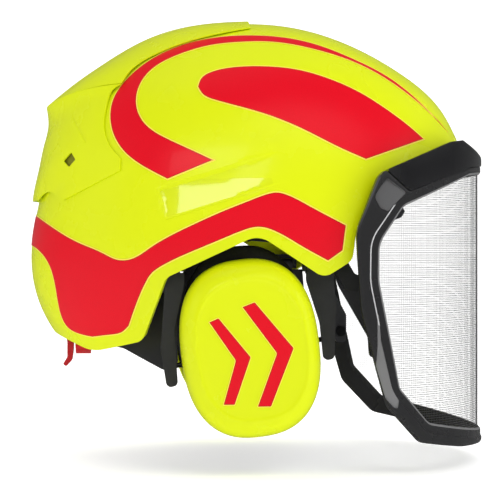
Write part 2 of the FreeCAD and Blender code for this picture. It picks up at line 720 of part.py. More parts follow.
def dome(side, inset):
    """The domed ear cup as a solid, inset from its outside."""
    wires = []
    for height, scale in DOME:
        distance = size("cup_back") + height * (1 - inset / 28.5)
        spots = oval(size("cup_half_x") * scale - inset, size("cup_half_z") * scale - inset)
        wires.append(oval_wire(spots, side * distance))
    return Part.makeLoft(wires, True)


CHEVRON_SMALL = [(-33.6, -16.2, 0.6), (-27.3, -13.4, 1), (-7.6, -37.2, 1.5), (-17.4, -66.1, 1), (-24.9, -66.1, 0.6), (-17.5, -39.3, 1.5)]
CHEVRON_LARGE = [(-13.8, -7.1, 0.6), (-5.6, -3.9, 1), (18.2, -31.9, 1.5), (4.4, -67.3, 1), (-4.5, -67.3, 0.6), (7.2, -35.1, 1.5)]

for name, side in SIDES:
    legs = []
    for outline, pin, (hinge_x, span) in ((REAR_LEG, REAR_PIN, HINGES[0]), (FRONT_LEG, FRONT_PIN, HINGES[1])):
        near = side * (size("ear_side") - size("leg_wall") / 2)
        plate = prism(rounded(outline), near, near + side * size("leg_wall"))
        room = prism(rounded([
            (-90, size("ear_z") - 4.2, 0), (90, size("ear_z") - 4.2, 0), (90, 40, 0), (-90, 40, 0),
        ]))
        neck = plate.common(side_block(side, (hinge_x - span / 2, hinge_x + span / 2), (80, 110), (-70, 40)))
        plate = plate.cut(room).fuse(neck)
        barrel = rod(size("knuckle"), span, Vector(hinge_x - span / 2, side * size("ear_side"), size("ear_z")), FORWARD)
        keep = side_block(side, (-90, 90), (80, 110), (-70, size("ear_z")))
        leg = plate.common(keep).fuse(barrel)
        bore = rod(size("ear_pin") + size("run_gap"), 40, Vector(hinge_x - 20, side * size("ear_side"), size("ear_z")), FORWARD)
        half_slot = size("slot") / 2
        slot_low = pin[1] - size("travel") - 2.2
        slot_far = size("ear_side") - size("leg_wall") / 2 + size("slot_deep")
        slot_cut = side_block(side, (pin[0] - half_slot, pin[0] + half_slot), (80, slot_far), (slot_low, pin[1] + 2.2))
        legs.append(leg.cut(bore).cut(slot_cut))
    feature(name + "_yoke_legs", Part.makeCompound(legs))

    sliders = []
    pins = []
    for pin, toward in ((REAR_PIN, 1), (FRONT_PIN, -1)):
        inboard = size("ear_side") - size("leg_wall") / 2
        half_key = size("slot") / 2 - 0.05
        shoe = side_block(side, (pin[0] - 2.6, pin[0] + 2.6), (inboard - 4, inboard - 0.05), (pin[1] - 2.6, pin[1] + 2.6))
        key_far = inboard + size("slot_deep") - 0.1
        key = side_block(side, (pin[0] - half_key, pin[0] + half_key), (inboard - 1, key_far), (pin[1] - 2, pin[1] + 2))
        start = Vector(pin[0], side * size("tilt_side"), pin[1]) - TILT * (3.5 * toward)
        pins.append(rod(size("tilt_pin"), 16, start, TILT * toward))
        sliders.append(shoe.fuse(key).cut(pins[-1]))
    feature(name + "_ear_sliders", Part.makeCompound(sliders))
    feature(name + "_tilt_pins", Part.makeCompound(pins))

    shell = dome(side, 0).cut(dome(side, size("cup_wall")))
    feature(name + "_ear_cup", shell)

    near, far = side * size("plate_back"), side * (size("cup_back") - 0.05)
    back = oval_plate(oval(40, 52), near, far).cut(oval_plate(oval(25, 37), near - side, far + side))
    bore_start = Vector(REAR_PIN[0], side * size("tilt_side"), REAR_PIN[1]) - TILT * 20
    back = back.cut(rod(size("tilt_pin") + size("run_gap"), 140, bore_start, TILT))
    feature(name + "_ear_back_plate", back)

    near, far = side * size("seal_back"), side * (size("plate_back") - 0.1)
    ring_out = oval_plate(oval(41.5, 58, -7.5, -27, 2.3), near, far)
    ring_in = oval_plate(oval(25, 39, -7.5, -30, 2.3), near - side, far + side)
    feature(name + "_ear_cushion", ring_out.cut(ring_in))

    feature(name + "_acoustic_foam", oval_plate(oval(33, 45), side * (size("cup_back") + 2), side * 114))

    near, far = side * (size("cup_face") + 0.05), side * (size("cup_face") + 0.05 + size("decal"))
    marks = [prism(rounded(CHEVRON_SMALL), near, far), prism(rounded(CHEVRON_LARGE), near, far)]
    feature(name + "_chevron_film", Part.makeCompound(marks))

# ---------------------------------------------------------------- nape fitting

KNOB = Vector(0, 0, size("knob_z"))

housing = body("adjuster_housing")
housing.Placement = Placement(Vector(-100.3, 0, 0), Rotation())
shell_plan = sketch(housing, "YZ_Plane", "housing_plan", rounded([(-27, -34, 9), (27, -34, 9), (27, -6, 9), (-27, -6, 9)]))
pad(housing, "housing_plate", shell_plan, 5.7, True)
hub = sketch(housing, "YZ_Plane", "housing_hub")
hub.addGeometry(Part.Circle(Vector(0, size("knob_z"), 0), UP, size("hub_radius") + size("run_gap")), False)
pocket(housing, "housing_bore", hub, 12, reverse=False)

knob = body("size_knob")
knob.setExpression("Placement.Base.x", "Sheet.knob_front")
knob.setExpression("Placement.Base.z", "Sheet.knob_z")
pad(knob, "knob_disc", circle(knob, "YZ_Plane", "knob_plan", 0, 0, "knob_radius"), "Sheet.knob_deep", True)
hub_plan = circle(knob, "YZ_Plane", "knob_hub_plan", 0, 0, "hub_radius")
pad(knob, "knob_hub", hub_plan, 7.1)
grip = sketch(knob, "YZ_Plane", "knob_grip")
grip.addGeometry(Part.Circle(Vector(size("knob_radius") + 1.2, 0, 0), UP, 2.6), False)
grip_cut = pocket(knob, "knob_grip_cut", grip, 20, reverse=False)
turns = knob.newObject("PartDesign::PolarPattern", "knob_grips")
turns.Originals = [grip_cut]
turns.Axis = (grip, ["N_Axis"])
turns.Angle = 360
turns.Occurrences = 18
knob.Tip = turns
screw_hole = sketch(knob, "YZ_Plane", "knob_screw")
screw_hole.addGeometry(Part.Circle(Vector(0, 0, 0), UP, size("stud_radius") + size("run_gap")), False)
pocket(knob, "knob_screw_hole", screw_hole, 18, both=True)

CRADLE = [
    (-110, -8, 0), (-110, -33, 0), (-84, -36.5, 10), (-58, -49.5, 5), (-50, -45, 4), (-52, 2, 5),
    (-68, 2, 8), (-84, -8, 10),
]


def oval_wall(length, width, wall, z_low, z_high):
    outer = Part.Face(Part.Wire(Part.Ellipse(Vector(0, 0, z_low), length + wall, width + wall).toShape()))
    inner = Part.Face(Part.Wire(Part.Ellipse(Vector(0, 0, z_low), length, width).toShape()))
    return outer.cut(inner).extrude(UP * (z_high - z_low))


cradle = oval_wall(size("band_length") - 3.2, size("band_width") - 3.2, 3, -80, 0).common(prism(rounded(CRADLE)))
stud = rod(size("stud_radius"), 18, Vector(-96.5, 0, size("knob_z")), -FORWARD)
feature("nape_cradle", cradle.fuse(stud))
NAPE_PAD = [(-110, -11, 0), (-110, -30, 0), (-84, -33.5, 10), (-64, -42, 5), (-66, -28, 8), (-82, -11, 8)]
nape_pad = oval_wall(size("band_length") - 7.4, size("band_width") - 7.4, 4, -80, 0)
feature("nape_pad", nape_pad.common(prism(rounded(NAPE_PAD))))

lever_bracket = []
for edge in (-1, 1):
    lug = block((-123, edge * 8 - 1.5, -30), (-116.6, edge * 8 + 1.5, -12))
    tip = rod(3, 3, Vector(size("lever_x"), edge * 8 - 1.5, size("lever_z")), ACROSS)
    lever_bracket.append(lug.fuse(tip))
base = block((-150, -9.5, -18), (-116.6, 9.5, -12)).common(inside)
pin_hole = rod(1.26, 30, Vector(size("lever_x"), -15, size("lever_z")), ACROSS)
feature("lever_bracket", base.fuse(lever_bracket).cut(pin_hole))
feature("lever_pin", rod(1.25, 19, Vector(size("lever_x"), -9.5, size("lever_z")), ACROSS))

LEVER = [
    (-123, -26, 2.2), (-117, -26, 2.4), (-117.6, -40, 3), (-118.4, -46, 2), (-122.5, -50.5, 1.5),
    (-124.4, -48.5, 1), (-121.6, -44, 3), (-121.6, -34, 3),
]
lever = body("release_lever")
lever_plate = pad(lever, "lever_plate", sketch(lever, "XZ_Plane", "lever_side", rounded(LEVER)), "Sheet.lever_wide")
lever_plate.Midplane = True
lever_bore = sketch(lever, "XZ_Plane", "lever_bore")
lever_bore.addGeometry(Part.Circle(Vector(size("lever_x"), size("lever_z"), 0), UP, 1.3), False)
pocket(lever, "lever_bore_cut", lever_bore, both=True)

# ---------------------------------------------------------------- check and write

doc.recompute()
for item in doc.Objects:
    if "Invalid" in item.State or "Error" in item.State:
        raise RuntimeError(f"{item.Label}: {item.State}")
for item in nodes:
    shape = item.Shape
    if shape.isNull() or not shape.isValid() or not shape.Solids:
        raise RuntimeError(f"{item.Label} has no valid solid")
    shape.exportStep(f"parts/{item.Label}.step")
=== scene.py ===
import math
import bmesh
import bpy
import numpy as np
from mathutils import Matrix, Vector, kdtree
from mathutils.geometry import delaunay_2d_cdt


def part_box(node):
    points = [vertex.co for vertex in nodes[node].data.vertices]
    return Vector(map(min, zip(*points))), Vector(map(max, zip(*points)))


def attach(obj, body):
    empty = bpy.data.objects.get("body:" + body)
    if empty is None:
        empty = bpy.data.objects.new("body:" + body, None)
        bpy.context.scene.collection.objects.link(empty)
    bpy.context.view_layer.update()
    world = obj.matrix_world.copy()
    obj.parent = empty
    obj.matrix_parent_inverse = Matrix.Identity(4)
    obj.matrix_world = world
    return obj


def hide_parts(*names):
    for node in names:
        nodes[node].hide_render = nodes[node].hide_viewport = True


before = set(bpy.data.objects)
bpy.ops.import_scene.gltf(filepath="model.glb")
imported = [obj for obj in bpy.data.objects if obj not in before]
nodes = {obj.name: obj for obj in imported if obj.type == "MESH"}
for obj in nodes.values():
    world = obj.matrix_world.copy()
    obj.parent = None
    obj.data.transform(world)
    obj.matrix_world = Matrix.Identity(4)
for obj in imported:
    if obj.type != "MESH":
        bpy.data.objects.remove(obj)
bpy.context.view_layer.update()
MM = 0.001

# ---------------------------------------------------------------- materials


def graph(name):
    mat = bpy.data.materials.new(name)
    mat.use_nodes = True
    return mat, mat.node_tree, mat.node_tree.nodes["Principled BSDF"]


def add(tree, kind, **values):
    """A new node; each value goes to the input or the setting of that name."""
    node = tree.nodes.new(kind)
    for key, value in values.items():
        if key in node.inputs:
            node.inputs[key].default_value = value
        else:
            setattr(node, key, value)
    return node


def set_inputs(node, values):
    for key, value in values.items():
        node.inputs[key].default_value = value


def texture(tree, kind, **values):
    """A texture over the object's own coordinates."""
    node = add(tree, kind, **values)
    tree.links.new(add(tree, "ShaderNodeTexCoord").outputs["Object"], node.inputs["Vector"])
    return node


def tones(tree, value, colour, first, last):
    """A colour times a factor that runs from first to last with a value."""
    node = add(tree, "ShaderNodeValToRGB")
    for element, factor in zip(node.color_ramp.elements, (first, last)):
        element.color = tuple(min(1, c * factor) for c in colour) + (1,)
    tree.links.new(value, node.inputs["Fac"])
    return node.outputs["Color"]


def between(tree, value, low, high):
    """A value of 0 to 1 stretched to a range."""
    node = add(tree, "ShaderNodeMapRange")
    set_inputs(node, {"To Min": low, "To Max": high})
    tree.links.new(value, node.inputs["Value"])
    return node.outputs["Result"]


def combine(tree, operation, first, second):
    """Two values combined; the second may be a number."""
    node = add(tree, "ShaderNodeMath", operation=operation)
    tree.links.new(first, node.inputs[0])
    if isinstance(second, float):
        node.inputs[1].default_value = second
    else:
        tree.links.new(second, node.inputs[1])
    return node.outputs[0]


def bumps(tree, shader, height, strength, distance):
    node = add(tree, "ShaderNodeBump", Strength=strength, Distance=distance)
    tree.links.new(height, node.inputs["Height"])
    tree.links.new(node.outputs["Normal"], shader.inputs["Normal"])


def rubbed(tree, base, colour, wear):
    """A base colour that turns paler, in specks, along sharp edges."""
    sharp = add(tree, "ShaderNodeValToRGB")
    sharp.color_ramp.elements[0].position = 0.52
    sharp.color_ramp.elements[1].position = 0.62
    tree.links.new(add(tree, "ShaderNodeNewGeometry").outputs["Pointiness"], sharp.inputs["Fac"])
    speck = texture(tree, "ShaderNodeTexNoise", Scale=260.0, Detail=4.0)
    amount = combine(tree, "MULTIPLY", sharp.outputs["Color"], speck.outputs["Fac"])
    mix = add(tree, "ShaderNodeMix", data_type="RGBA")
    tree.links.new(combine(tree, "MULTIPLY", amount, wear), mix.inputs["Factor"])
    tree.links.new(base, mix.inputs["A"])
    mix.inputs["B"].default_value = tuple(min(1, c * 1.6 + 0.05) for c in colour) + (1,)
    return mix.outputs["Result"]


def plastic(name, colour, rough, grain=0.0, grain_scale=900.0, vary=0.03, coat=0.0, wear=0.0, specular=0.5):
    """Moulded plastic: slight colour drift, uneven gloss, a fine skin texture and paler rubbed edges."""
    mat, tree, shader = graph(name)
    drift = texture(tree, "ShaderNodeTexNoise", Scale=14.0, Detail=3.0)
    base = tones(tree, drift.outputs["Fac"], colour, 1 - vary, 1 + vary)
    if wear:
        base = rubbed(tree, base, colour, wear)
    tree.links.new(base, shader.inputs["Base Color"])
    smear = texture(tree, "ShaderNodeTexNoise", Scale=35.0, Detail=5.0)
    tree.links.new(between(tree, smear.outputs["Fac"], rough * 0.85, rough * 1.2), shader.inputs["Roughness"])
    set_inputs(shader, {"Coat Weight": coat, "Coat Roughness": 0.04, "Specular IOR Level": specular})
    if grain:
        skin = texture(tree, "ShaderNodeTexNoise", Scale=grain_scale, Detail=2.0)
        bumps(tree, shader, skin.outputs["Fac"], grain, 0.0002)
    return mat


def film_material(name, colour):
    """Reflective film: glassy top, faint bead texture below it."""
    mat, tree, shader = graph(name)
    beads = texture(tree, "ShaderNodeTexVoronoi", Scale=2200.0).outputs["Distance"]
    tree.links.new(tones(tree, beads, colour, 1.04, 0.93), shader.inputs["Base Color"])
    set_inputs(shader, {
        "Roughness": 0.3, "Specular IOR Level": 0.25, "Coat Weight": 0.12, "Coat Roughness": 0.05})
    bumps(tree, shader, beads, 0.04, 0.0001)
    return mat


def cloth_material(name, colour, pitch, rough=0.85, depth=0.5):
    """A plain weave at a real pitch in metres, with a soft sheen."""
    mat, tree, shader = graph(name)
    x, y, z = (
        texture(tree, "ShaderNodeTexWave", Scale=1 / pitch / 3.2, Distortion=0.6, bands_direction=axis,
                wave_profile="SIN").outputs["Fac"]
        for axis in ("X", "Y", "Z"))
    weave = combine(tree, "ADD", combine(tree, "MULTIPLY", x, z), y)
    tree.links.new(tones(tree, weave, colour, 0.55, 1.35), shader.inputs["Base Color"])
    set_inputs(shader, {"Roughness": rough, "Sheen Weight": 0.4})
    bumps(tree, shader, weave, depth, 0.0003)
    return mat


def cell_material(name, colour, cell, rough, depth, gap=0.0):
    """Beaded foam or leatherette: rounded cells of the given size."""
    mat, tree, shader = graph(name)
    cells = texture(tree, "ShaderNodeTexVoronoi", Scale=1 / cell).outputs["Distance"]
    fine = texture(tree, "ShaderNodeTexNoise", Scale=3 / cell, Detail=4.0).outputs["Fac"]
    tree.links.new(tones(tree, cells, colour, 1.25, 0.7 - gap), shader.inputs["Base Color"])
    set_inputs(shader, {"Roughness": rough})
    bumps(tree, shader, combine(tree, "SUBTRACT", fine, cells), depth, cell * 0.4)
    return mat


def metal(name, colour, rough):
    """Bare metal with fine scratches in its gloss."""
    mat, tree, shader = graph(name)
    scratch = texture(tree, "ShaderNodeTexNoise", Scale=700.0, Detail=6.0)
    gloss = between(tree, scratch.outputs["Fac"], rough * 0.6, rough * 1.5)
    tree.links.new(gloss, shader.inputs["Roughness"])
    set_inputs(shader, {"Base Color": colour + (1,), "Metallic": 1.0})
    return mat


YELLOW = plastic("gloss_yellow", (0.74, 0.84, 0.003), 0.26, grain=0.02, vary=0.015, coat=0.12, specular=0.3)
POLISHED = plastic("polished_yellow", (0.74, 0.84, 0.003), 0.1, vary=0.015, coat=1.0)
RED = film_material("film_red", (0.78, 0.0, 0.012))
DARK_RED = film_material("film_dark_line", (0.42, 0.0, 0.008))
EDGE = plastic("film_edge", (1.0, 0.78, 0.1), 0.3, vary=0.02, specular=0.3)
# Painted shade: a dark olive for the shell seen through the rear vent, standing in for the shade inside the
# hollow.
VENT_SHADE = plastic("vent_painted_shade", (0.2, 0.2, 0.002), 0.5, grain=0.1, vary=0.2)
# Painted light: a paler grey for the visor rail's upper facet, and a paler one still for its lower bevel and
# window lip, where these faces catch the lamps.
FACET_PAINTED_LIGHT, BEVEL_PAINTED_HIGHLIGHT = (
    plastic(name, colour, 0.42, grain=0.08, grain_scale=1800.0, vary=0.06)
    for name, colour in (("facet_painted_light", (0.1, 0.1, 0.102)), ("bevel_painted_highlight", (0.19, 0.19, 0.192))))
# Painted highlight: a pale grey for the bright line of light along the visor rail's ridge.
RIDGE_PAINTED_HIGHLIGHT = plastic("ridge_painted_highlight", (0.55, 0.55, 0.56), 0.35, vary=0.06)
CHARCOAL, FRAME_GREY, DARK_GLOSS, BLACK = (
    plastic(name, colour, rough, grain=grain, grain_scale=scale, vary=vary, wear=wear)
    for name, colour, rough, grain, scale, vary, wear in (
        ("charcoal_plastic", (0.026, 0.026, 0.028), 0.3, 0.12, 1500.0, 0.1, 0.25),
        ("frame_plastic", (0.022, 0.022, 0.023), 0.26, 0.1, 1800.0, 0.1, 0.3),
        ("dark_gloss_plastic", (0.011, 0.011, 0.012), 0.2, 0.06, 1800.0, 0.1, 0.2),
        ("black_plastic", (0.012, 0.012, 0.013), 0.45, 0.3, 1400.0, 0.15, 0.2)))
KNOB_RED = plastic("knob_red", (0.55, 0.004, 0.008), 0.25, grain=0.05, vary=0.05, coat=0.3, wear=0.2)
FOAM = cell_material("bead_foam", (0.03, 0.03, 0.032), 0.0035, 0.75, 0.35)
LEATHERETTE = cell_material("leatherette", (0.016, 0.016, 0.017), 0.0011, 0.42, 0.25)
OPEN_FOAM = cell_material("open_foam", (0.05, 0.05, 0.055), 0.0012, 0.95, 0.9, gap=0.3)
WEBBING = cloth_material("webbing", (0.035, 0.035, 0.038), 0.0014)
BRUSHED = cloth_material("brushed_cloth", (0.03, 0.03, 0.034), 0.0009, rough=0.95, depth=0.3)
STEEL = metal("zinc_steel", (0.62, 0.62, 0.64), 0.3)
BLACK_SCREW = metal("blackened_steel", (0.05, 0.05, 0.052), 0.35)
WIRE = metal("stainless_wire", (0.3, 0.3, 0.31), 0.35)

# ---------------------------------------------------------------- mesh helpers


def new_object(name, data):
    obj = bpy.data.objects.new(name, data)
    bpy.context.scene.collection.objects.link(obj)
    return obj


def mesh_object(name, verts, faces, mat, body, smooth=True):
    mesh = bpy.data.meshes.new(name)
    mesh.from_pydata([tuple(v) for v in verts], [], faces)
    mesh.update()
    mesh.materials.append(mat)
    if smooth:
        mesh.shade_smooth()
    obj = new_object(name, mesh)
    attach(obj, body)
    return obj


def weld(obj, distance=0.00002):
    """Joins points closer than a distance and turns the faces of a closed shape outwards."""
    work = bmesh.new()
    work.from_mesh(obj.data)
    if distance:
        bmesh.ops.remove_doubles(work, verts=work.verts, dist=distance)
    bmesh.ops.recalc_face_normals(work, faces=work.faces)
    work.to_mesh(obj.data)
    work.free()


def tube_faces(rings, count, start=0):
    """Four-sided faces between rings of points that follow each other from a start number."""
    return [
        (low + i, low + (i + 1) % count, low + count + (i + 1) % count, low + count + i)
        for low in range(start, start + (rings - 1) * count, count) for i in range(count)]


def end_faces(rings, count, start=0):
    """The two faces that close a tube."""
    last = start + (rings - 1) * count
    return [tuple(range(start, start + count))[::-1], tuple(range(last, last + count))]


def outward(obj, centre):
    """Turns the faces of an open sheet away from a point."""
    middle = Vector(centre)
    total = sum((p.center - middle).dot(p.normal) * p.area for p in obj.data.polygons)
    if total < 0:
        obj.data.flip_normals()


def modifier(obj, kind, **values):
    mod = obj.modifiers.new(kind.lower(), kind)
    for key, value in values.items():
        setattr(mod, key, value)
    return mod


def rounded_edges(obj, width, segments=2, angle=40):
    modifier(obj, "BEVEL", width=width, segments=segments, limit_method="ANGLE",
             angle_limit=math.radians(angle), harden_normals=False, miter_outer="MITER_ARC")
    modifier(obj, "WEIGHTED_NORMAL", keep_sharp=True)


def paint(node, mat, bevel):
    """Gives a CAD piece its material and eased edges."""
    obj = nodes[node]
    if not obj.material_slots:
        obj.data.materials.append(mat)
    for slot in obj.material_slots:
        slot.material = mat
    modifier(obj, "BEVEL", width=bevel, segments=2, limit_method="ANGLE", angle_limit=math.radians(35))


# ---------------------------------------------------------------- the shell surface

CENTRE = np.array([2.0, 42.0])
HALF = 110.0
SIDE_POWER = 2.1
RIM_POWER = 2.6
PROFILE = [
    (138.2, 99.2), (127, 120), (100.5, 144), (67, 162.5), (33.5, 173.5), (0, 177),
    (-33.5, 174), (-67, 163.5), (-98, 145), (-109.8, 133.8), (-120, 121), (-128.3, 106.9),
    (-134, 92), (-137, 78), (-139.5, 62),
    (-143.5, 42), (-145, 15), (-140, -8), (-130, -27), (-112, -48), (-84, -72),
    (-45, -92), (0, -100), (50, -95), (95, -75), (130, -38), (147, 10), (150, 50), (146.2, 80),
]
HOOD_TOP = [(0, 178), (-33.5, 175.4), (-67.6, 166.2), (-100.3, 147), (-120, 132.8), (-134.6, 120.6)]
HOOD_BACK = [(-134.6, 120.6), (-133.4, 108.4), (-136.3, 95), (-139.6, 79), (-143.4, 60.5), (-143.5, 42)]
RIDGE_TURN = math.radians(150.08)
RIDGE_LEAN = math.radians(15.6)
RIDGE_REACH = 66.0
HOOD_REACH = 85.0


def directions(points, centre):
    """Direction and distance of plane points from a centre."""
    rel = np.asarray(points, float) - centre
    return np.arctan2(rel[..., 1], rel[..., 0]), np.hypot(rel[..., 0], rel[..., 1])


def polar(length, turn):
    """Plane points at a distance and direction from the origin."""
    return np.stack([length * np.cos(turn), length * np.sin(turn)], axis=-1)


def unit(vectors, least=1e-9):
    """Plane vectors brought to length 1."""
    return vectors / np.maximum(np.hypot(vectors[..., 0], vectors[..., 1]), least)[..., None]


def spoke_curve(points):
    """Distance from the centre as a smooth function of direction."""
    angle, reach = directions(points, CENTRE)
    angle = np.mod(angle, math.tau)
    order = np.argsort(angle)
    angle, reach = angle[order], reach[order]
    count = len(angle)
    gap = np.diff(np.append(angle, angle[0] + math.tau))
    system = np.zeros((count, count))
    right = np.zeros(count)
    for i in range(count):
        j = (i + 1) % count
        system[i, i - 1] += gap[i - 1]
        system[i, i] += 2 * (gap[i - 1] + gap[i])
        system[i, j] += gap[i]
        right[i] = 6 * ((reach[j] - reach[i]) / gap[i] - (reach[i] - reach[i - 1]) / gap[i - 1])
    curve = np.linalg.solve(system, right)

    def at(phi):
        phi = np.mod(np.asarray(phi, float) - angle[0], math.tau) + angle[0]
        i = np.clip(np.searchsorted(angle, phi, side="right") - 1, 0, count - 1)
        j = (i + 1) % count
        h = gap[i]
        a = (angle[i] + h - phi) / h
        b = (phi - angle[i]) / h
        return a * reach[i] + b * reach[j] + ((a**3 - a) * curve[i] + (b**3 - b) * curve[j]) * h * h / 6

    return at


def smooth_run(points):
    """A smooth curve through points, as a fine polyline."""
    points = np.asarray(points, float)
    if len(points) == 2:
        return points
    knots = np.concatenate([[0], np.cumsum(np.hypot(*np.diff(points, axis=0).T))])
    count = len(points)
    gap = np.diff(knots)
    system = np.eye(count)
    right = np.zeros((count, 2))
    for i in range(1, count - 1):
        system[i, i - 1:i + 2] = gap[i - 1], 2 * (gap[i - 1] + gap[i]), gap[i]
        right[i] = 6 * ((points[i + 1] - points[i]) / gap[i] - (points[i] - points[i - 1]) / gap[i - 1])
    curve = np.linalg.solve(system, right)
    spots = []
    for i in range(count - 1):
        for b in np.linspace(0, 1, 9)[: 9 if i == count - 2 else 8]:
            a = 1 - b
            bend = ((a**3 - a) * curve[i] + (b**3 - b) * curve[i + 1]) * gap[i] ** 2 / 6
            spots.append(a * points[i] + b * points[i + 1] + bend)
    return np.array(spots)


shell_reach = spoke_curve(PROFILE)
hood_line = np.concatenate([smooth_run(HOOD_TOP), smooth_run(HOOD_BACK)[1:]])
hood_turns, hood_lengths = directions(hood_line, CENTRE)
hood_turns = np.mod(hood_turns, math.tau)


def bulge(phi):
    """How far the rear hood stands off the plain shell; it breaks sharply along its ridge."""
    turn = np.mod(phi, math.tau)
    length = np.interp(turn, hood_turns, hood_lengths)
    within = (turn > hood_turns[0]) & (turn < hood_turns[-1])
    return np.where(within, np.maximum(length - shell_reach(turn), 0), 0)


def reach(phi, y, grow, hood):
    """Distance of the shell from its long axis in a direction, at a distance from the middle plane."""
    base = shell_reach(phi)
    if hood:
        fade = np.clip(1 - (y / HOOD_REACH) ** 2, 0, 1) ** 2
        base = base + bulge(phi + RIDGE_LEAN * np.clip(y / RIDGE_REACH, 0, 1.2) ** 2) * fade
    return base + grow


def side_of(theta, grow):
    """Distance from the middle plane at a latitude."""
    return (HALF + grow) * np.clip(1 - np.sin(theta) ** RIM_POWER, 0, 1) ** (1 / SIDE_POWER)


def lift(phi, theta, grow=0.0, hood=False):
    """Points of the shell surface, right-hand side, in millimetres."""
    y = side_of(theta, grow)
    r = reach(phi, y, grow, hood) * np.sin(theta)
    return np.stack([CENTRE[0] + r * np.cos(phi), -y, CENTRE[1] + r * np.sin(phi)], axis=-1)


def resample(points, step):
    """Points along an open polyline at an even step, both ends kept."""
    points = np.asarray(points, float)
    lengths = np.hypot(*np.diff(points, axis=0).T)
    total = np.concatenate([[0], np.cumsum(lengths)])
    count = max(1, int(round(total[-1] / step)))
    marks = np.linspace(0, total[-1], count + 1)
    return np.stack([np.interp(marks, total, points[:, 0]), np.interp(marks, total, points[:, 1])], axis=-1)


def runs(*pieces, step=1.5):
    """A closed outline of smooth runs that meet at sharp corners, as an even polyline."""
    return np.concatenate([resample(smooth_run(points), step)[:-1] for points in pieces])


def rounded(corners, step=1.5):
    """A closed outline with an arc at each corner (x, z, radius), as an even polyline."""
    spots = np.array([corner[:2] for corner in corners], float)
    ways = unit(np.roll(spots, 1, 0) - spots), unit(np.roll(spots, -1, 0) - spots)
    loop = []
    for here, before, after, (_, _, radius) in zip(spots, *ways, corners):
        if radius <= 0:
            loop.append(here)
            continue
        half = math.acos(max(-1, min(1, before @ after))) / 2
        middle = here + unit(before + after) * radius / math.sin(half)
        start, end = (here + way * radius / math.tan(half) - middle for way in (before, after))
        sweep = math.copysign(math.pi - 2 * half, start[0] * end[1] - start[1] * end[0])
        turns = np.linspace(0, sweep, max(2, int(radius * abs(sweep) / 0.8)) + 1)
        loop.extend(middle + polar(radius, math.atan2(start[1], start[0]) + turns))
    loop.append(loop[0])
    return np.concatenate(
        [resample([p, q], step)[:-1] for p, q in zip(loop, loop[1:]) if np.hypot(*(q - p)) > 1e-6])


def inside(spots, loop):
    """Which points lie within a closed loop."""
    hit = np.zeros(len(spots), bool)
    for (ax, ay), (bx, by) in zip(loop, np.roll(loop, -1, axis=0)):
        if ay == by:
            continue
        cross = (spots[:, 1] > ay) != (spots[:, 1] > by)
        hit ^= cross & (spots[:, 0] < (bx - ax) * (spots[:, 1] - ay) / (by - ay) + ax)
    return hit


def distance_to(loop, spots):
    """Shortest distance from each point to a closed loop."""
    best = np.full(len(spots), 1e9)
    for a, b in zip(loop, np.roll(loop, -1, axis=0)):
        along = b - a
        length = along @ along
        if length < 1e-12:
            continue
        t = np.clip((spots - a) @ along / length, 0, 1)
        best = np.minimum(best, np.hypot(*(spots - a - t[:, None] * along).T))
    return best


def tidy_loop(loop, least=0.3):
    """A closed loop without points that all but meet."""
    kept = [loop[0]]
    for spot in loop[1:]:
        if np.hypot(*(spot - kept[-1])) > least:
            kept.append(spot)
    if np.hypot(*(kept[-1] - kept[0])) < least:
        kept.pop()
    return np.array(kept)


def inset_loop(loop, amount):
    """A closed loop moved inwards by an amount; sharp corners are kept short."""
    area = np.sum(loop[:, 0] * np.roll(loop[:, 1], -1) - np.roll(loop[:, 0], -1) * loop[:, 1])
    before = unit(loop - np.roll(loop, 1, axis=0))
    along = unit(before + unit(np.roll(loop, -1, axis=0) - loop), 1e-6)
    normal = np.stack([-along[:, 1], along[:, 0]], axis=-1) * (1 if area > 0 else -1)
    stretch = 1 / np.clip(np.abs(np.sum(along * before, axis=1)), 0.5, 1)
    return loop + normal * (amount * stretch)[:, None]


def triangulate(loops, paths, spacing, domain):
    """Even triangles over a plane domain that follow every loop and path; gives points and faces."""
    low, high = domain.min(0), domain.max(0)
    rows = np.arange(low[1], high[1], spacing * 0.866)
    grid = []
    for k, row in enumerate(rows):
        across = np.arange(low[0] + (k % 2) * spacing / 2, high[0], spacing)
        grid.append(np.stack([across, np.full_like(across, row)], axis=-1))
    grid = np.concatenate(grid)
    grid = grid[inside(grid, domain)]
    edges = np.concatenate([domain] + list(loops) + list(paths))
    tree = kdtree.KDTree(len(edges))
    for i, spot in enumerate(edges):
        tree.insert((spot[0], spot[1], 0), i)
    tree.balance()
    grid = np.array([g for g in grid if tree.find((g[0], g[1], 0))[2] > spacing * 0.5])
    spots = np.concatenate([edges, grid])
    lines, start = [], 0
    closed = len(loops) + 1
    for k, line in enumerate((domain, *loops, *paths)):
        count = len(line) - (k >= closed)
        lines += [(start + i, start + (i + 1) % len(line)) for i in range(count)]
        start += len(line)
    flat, _, faces, _, _, _ = delaunay_2d_cdt([Vector(p) for p in spots], lines, [], 0, 1e-3)
    return np.array([(v.x, v.y) for v in flat]), np.array([tuple(f) for f in faces if len(f) == 3])


def thick_sheet(name, outer, inner, faces, mat, body, slot_name, marks=None, extra=()):
    """A closed piece between an outer and an inner sheet that share their faces."""
    used, packed = np.unique(faces, return_inverse=True)
    faces = packed.reshape(faces.shape)
    outer, inner = outer[used], inner[used]
    count = len(outer)
    edges = dict.fromkeys((a, b) for face in faces for a, b in zip(face, np.roll(face, -1)))
    walls = [(b, a, a + count, b + count) for a, b in edges if (b, a) not in edges]
    solid = [tuple(f) for f in faces] + [tuple(i + count for i in f[::-1]) for f in faces] + walls
    obj = mesh_object(name, np.concatenate([outer, inner]) * MM, solid, mat, body)
    for other in extra:
        obj.data.materials.append(other)
    if marks is not None:
        index = np.zeros(len(solid), np.int32)
        index[:len(faces)] = marks
        obj.data.polygons.foreach_set("material_index", index)
    weld(obj, 0)
    obj.data.set_sharp_from_angle(angle=math.radians(40))
    return obj


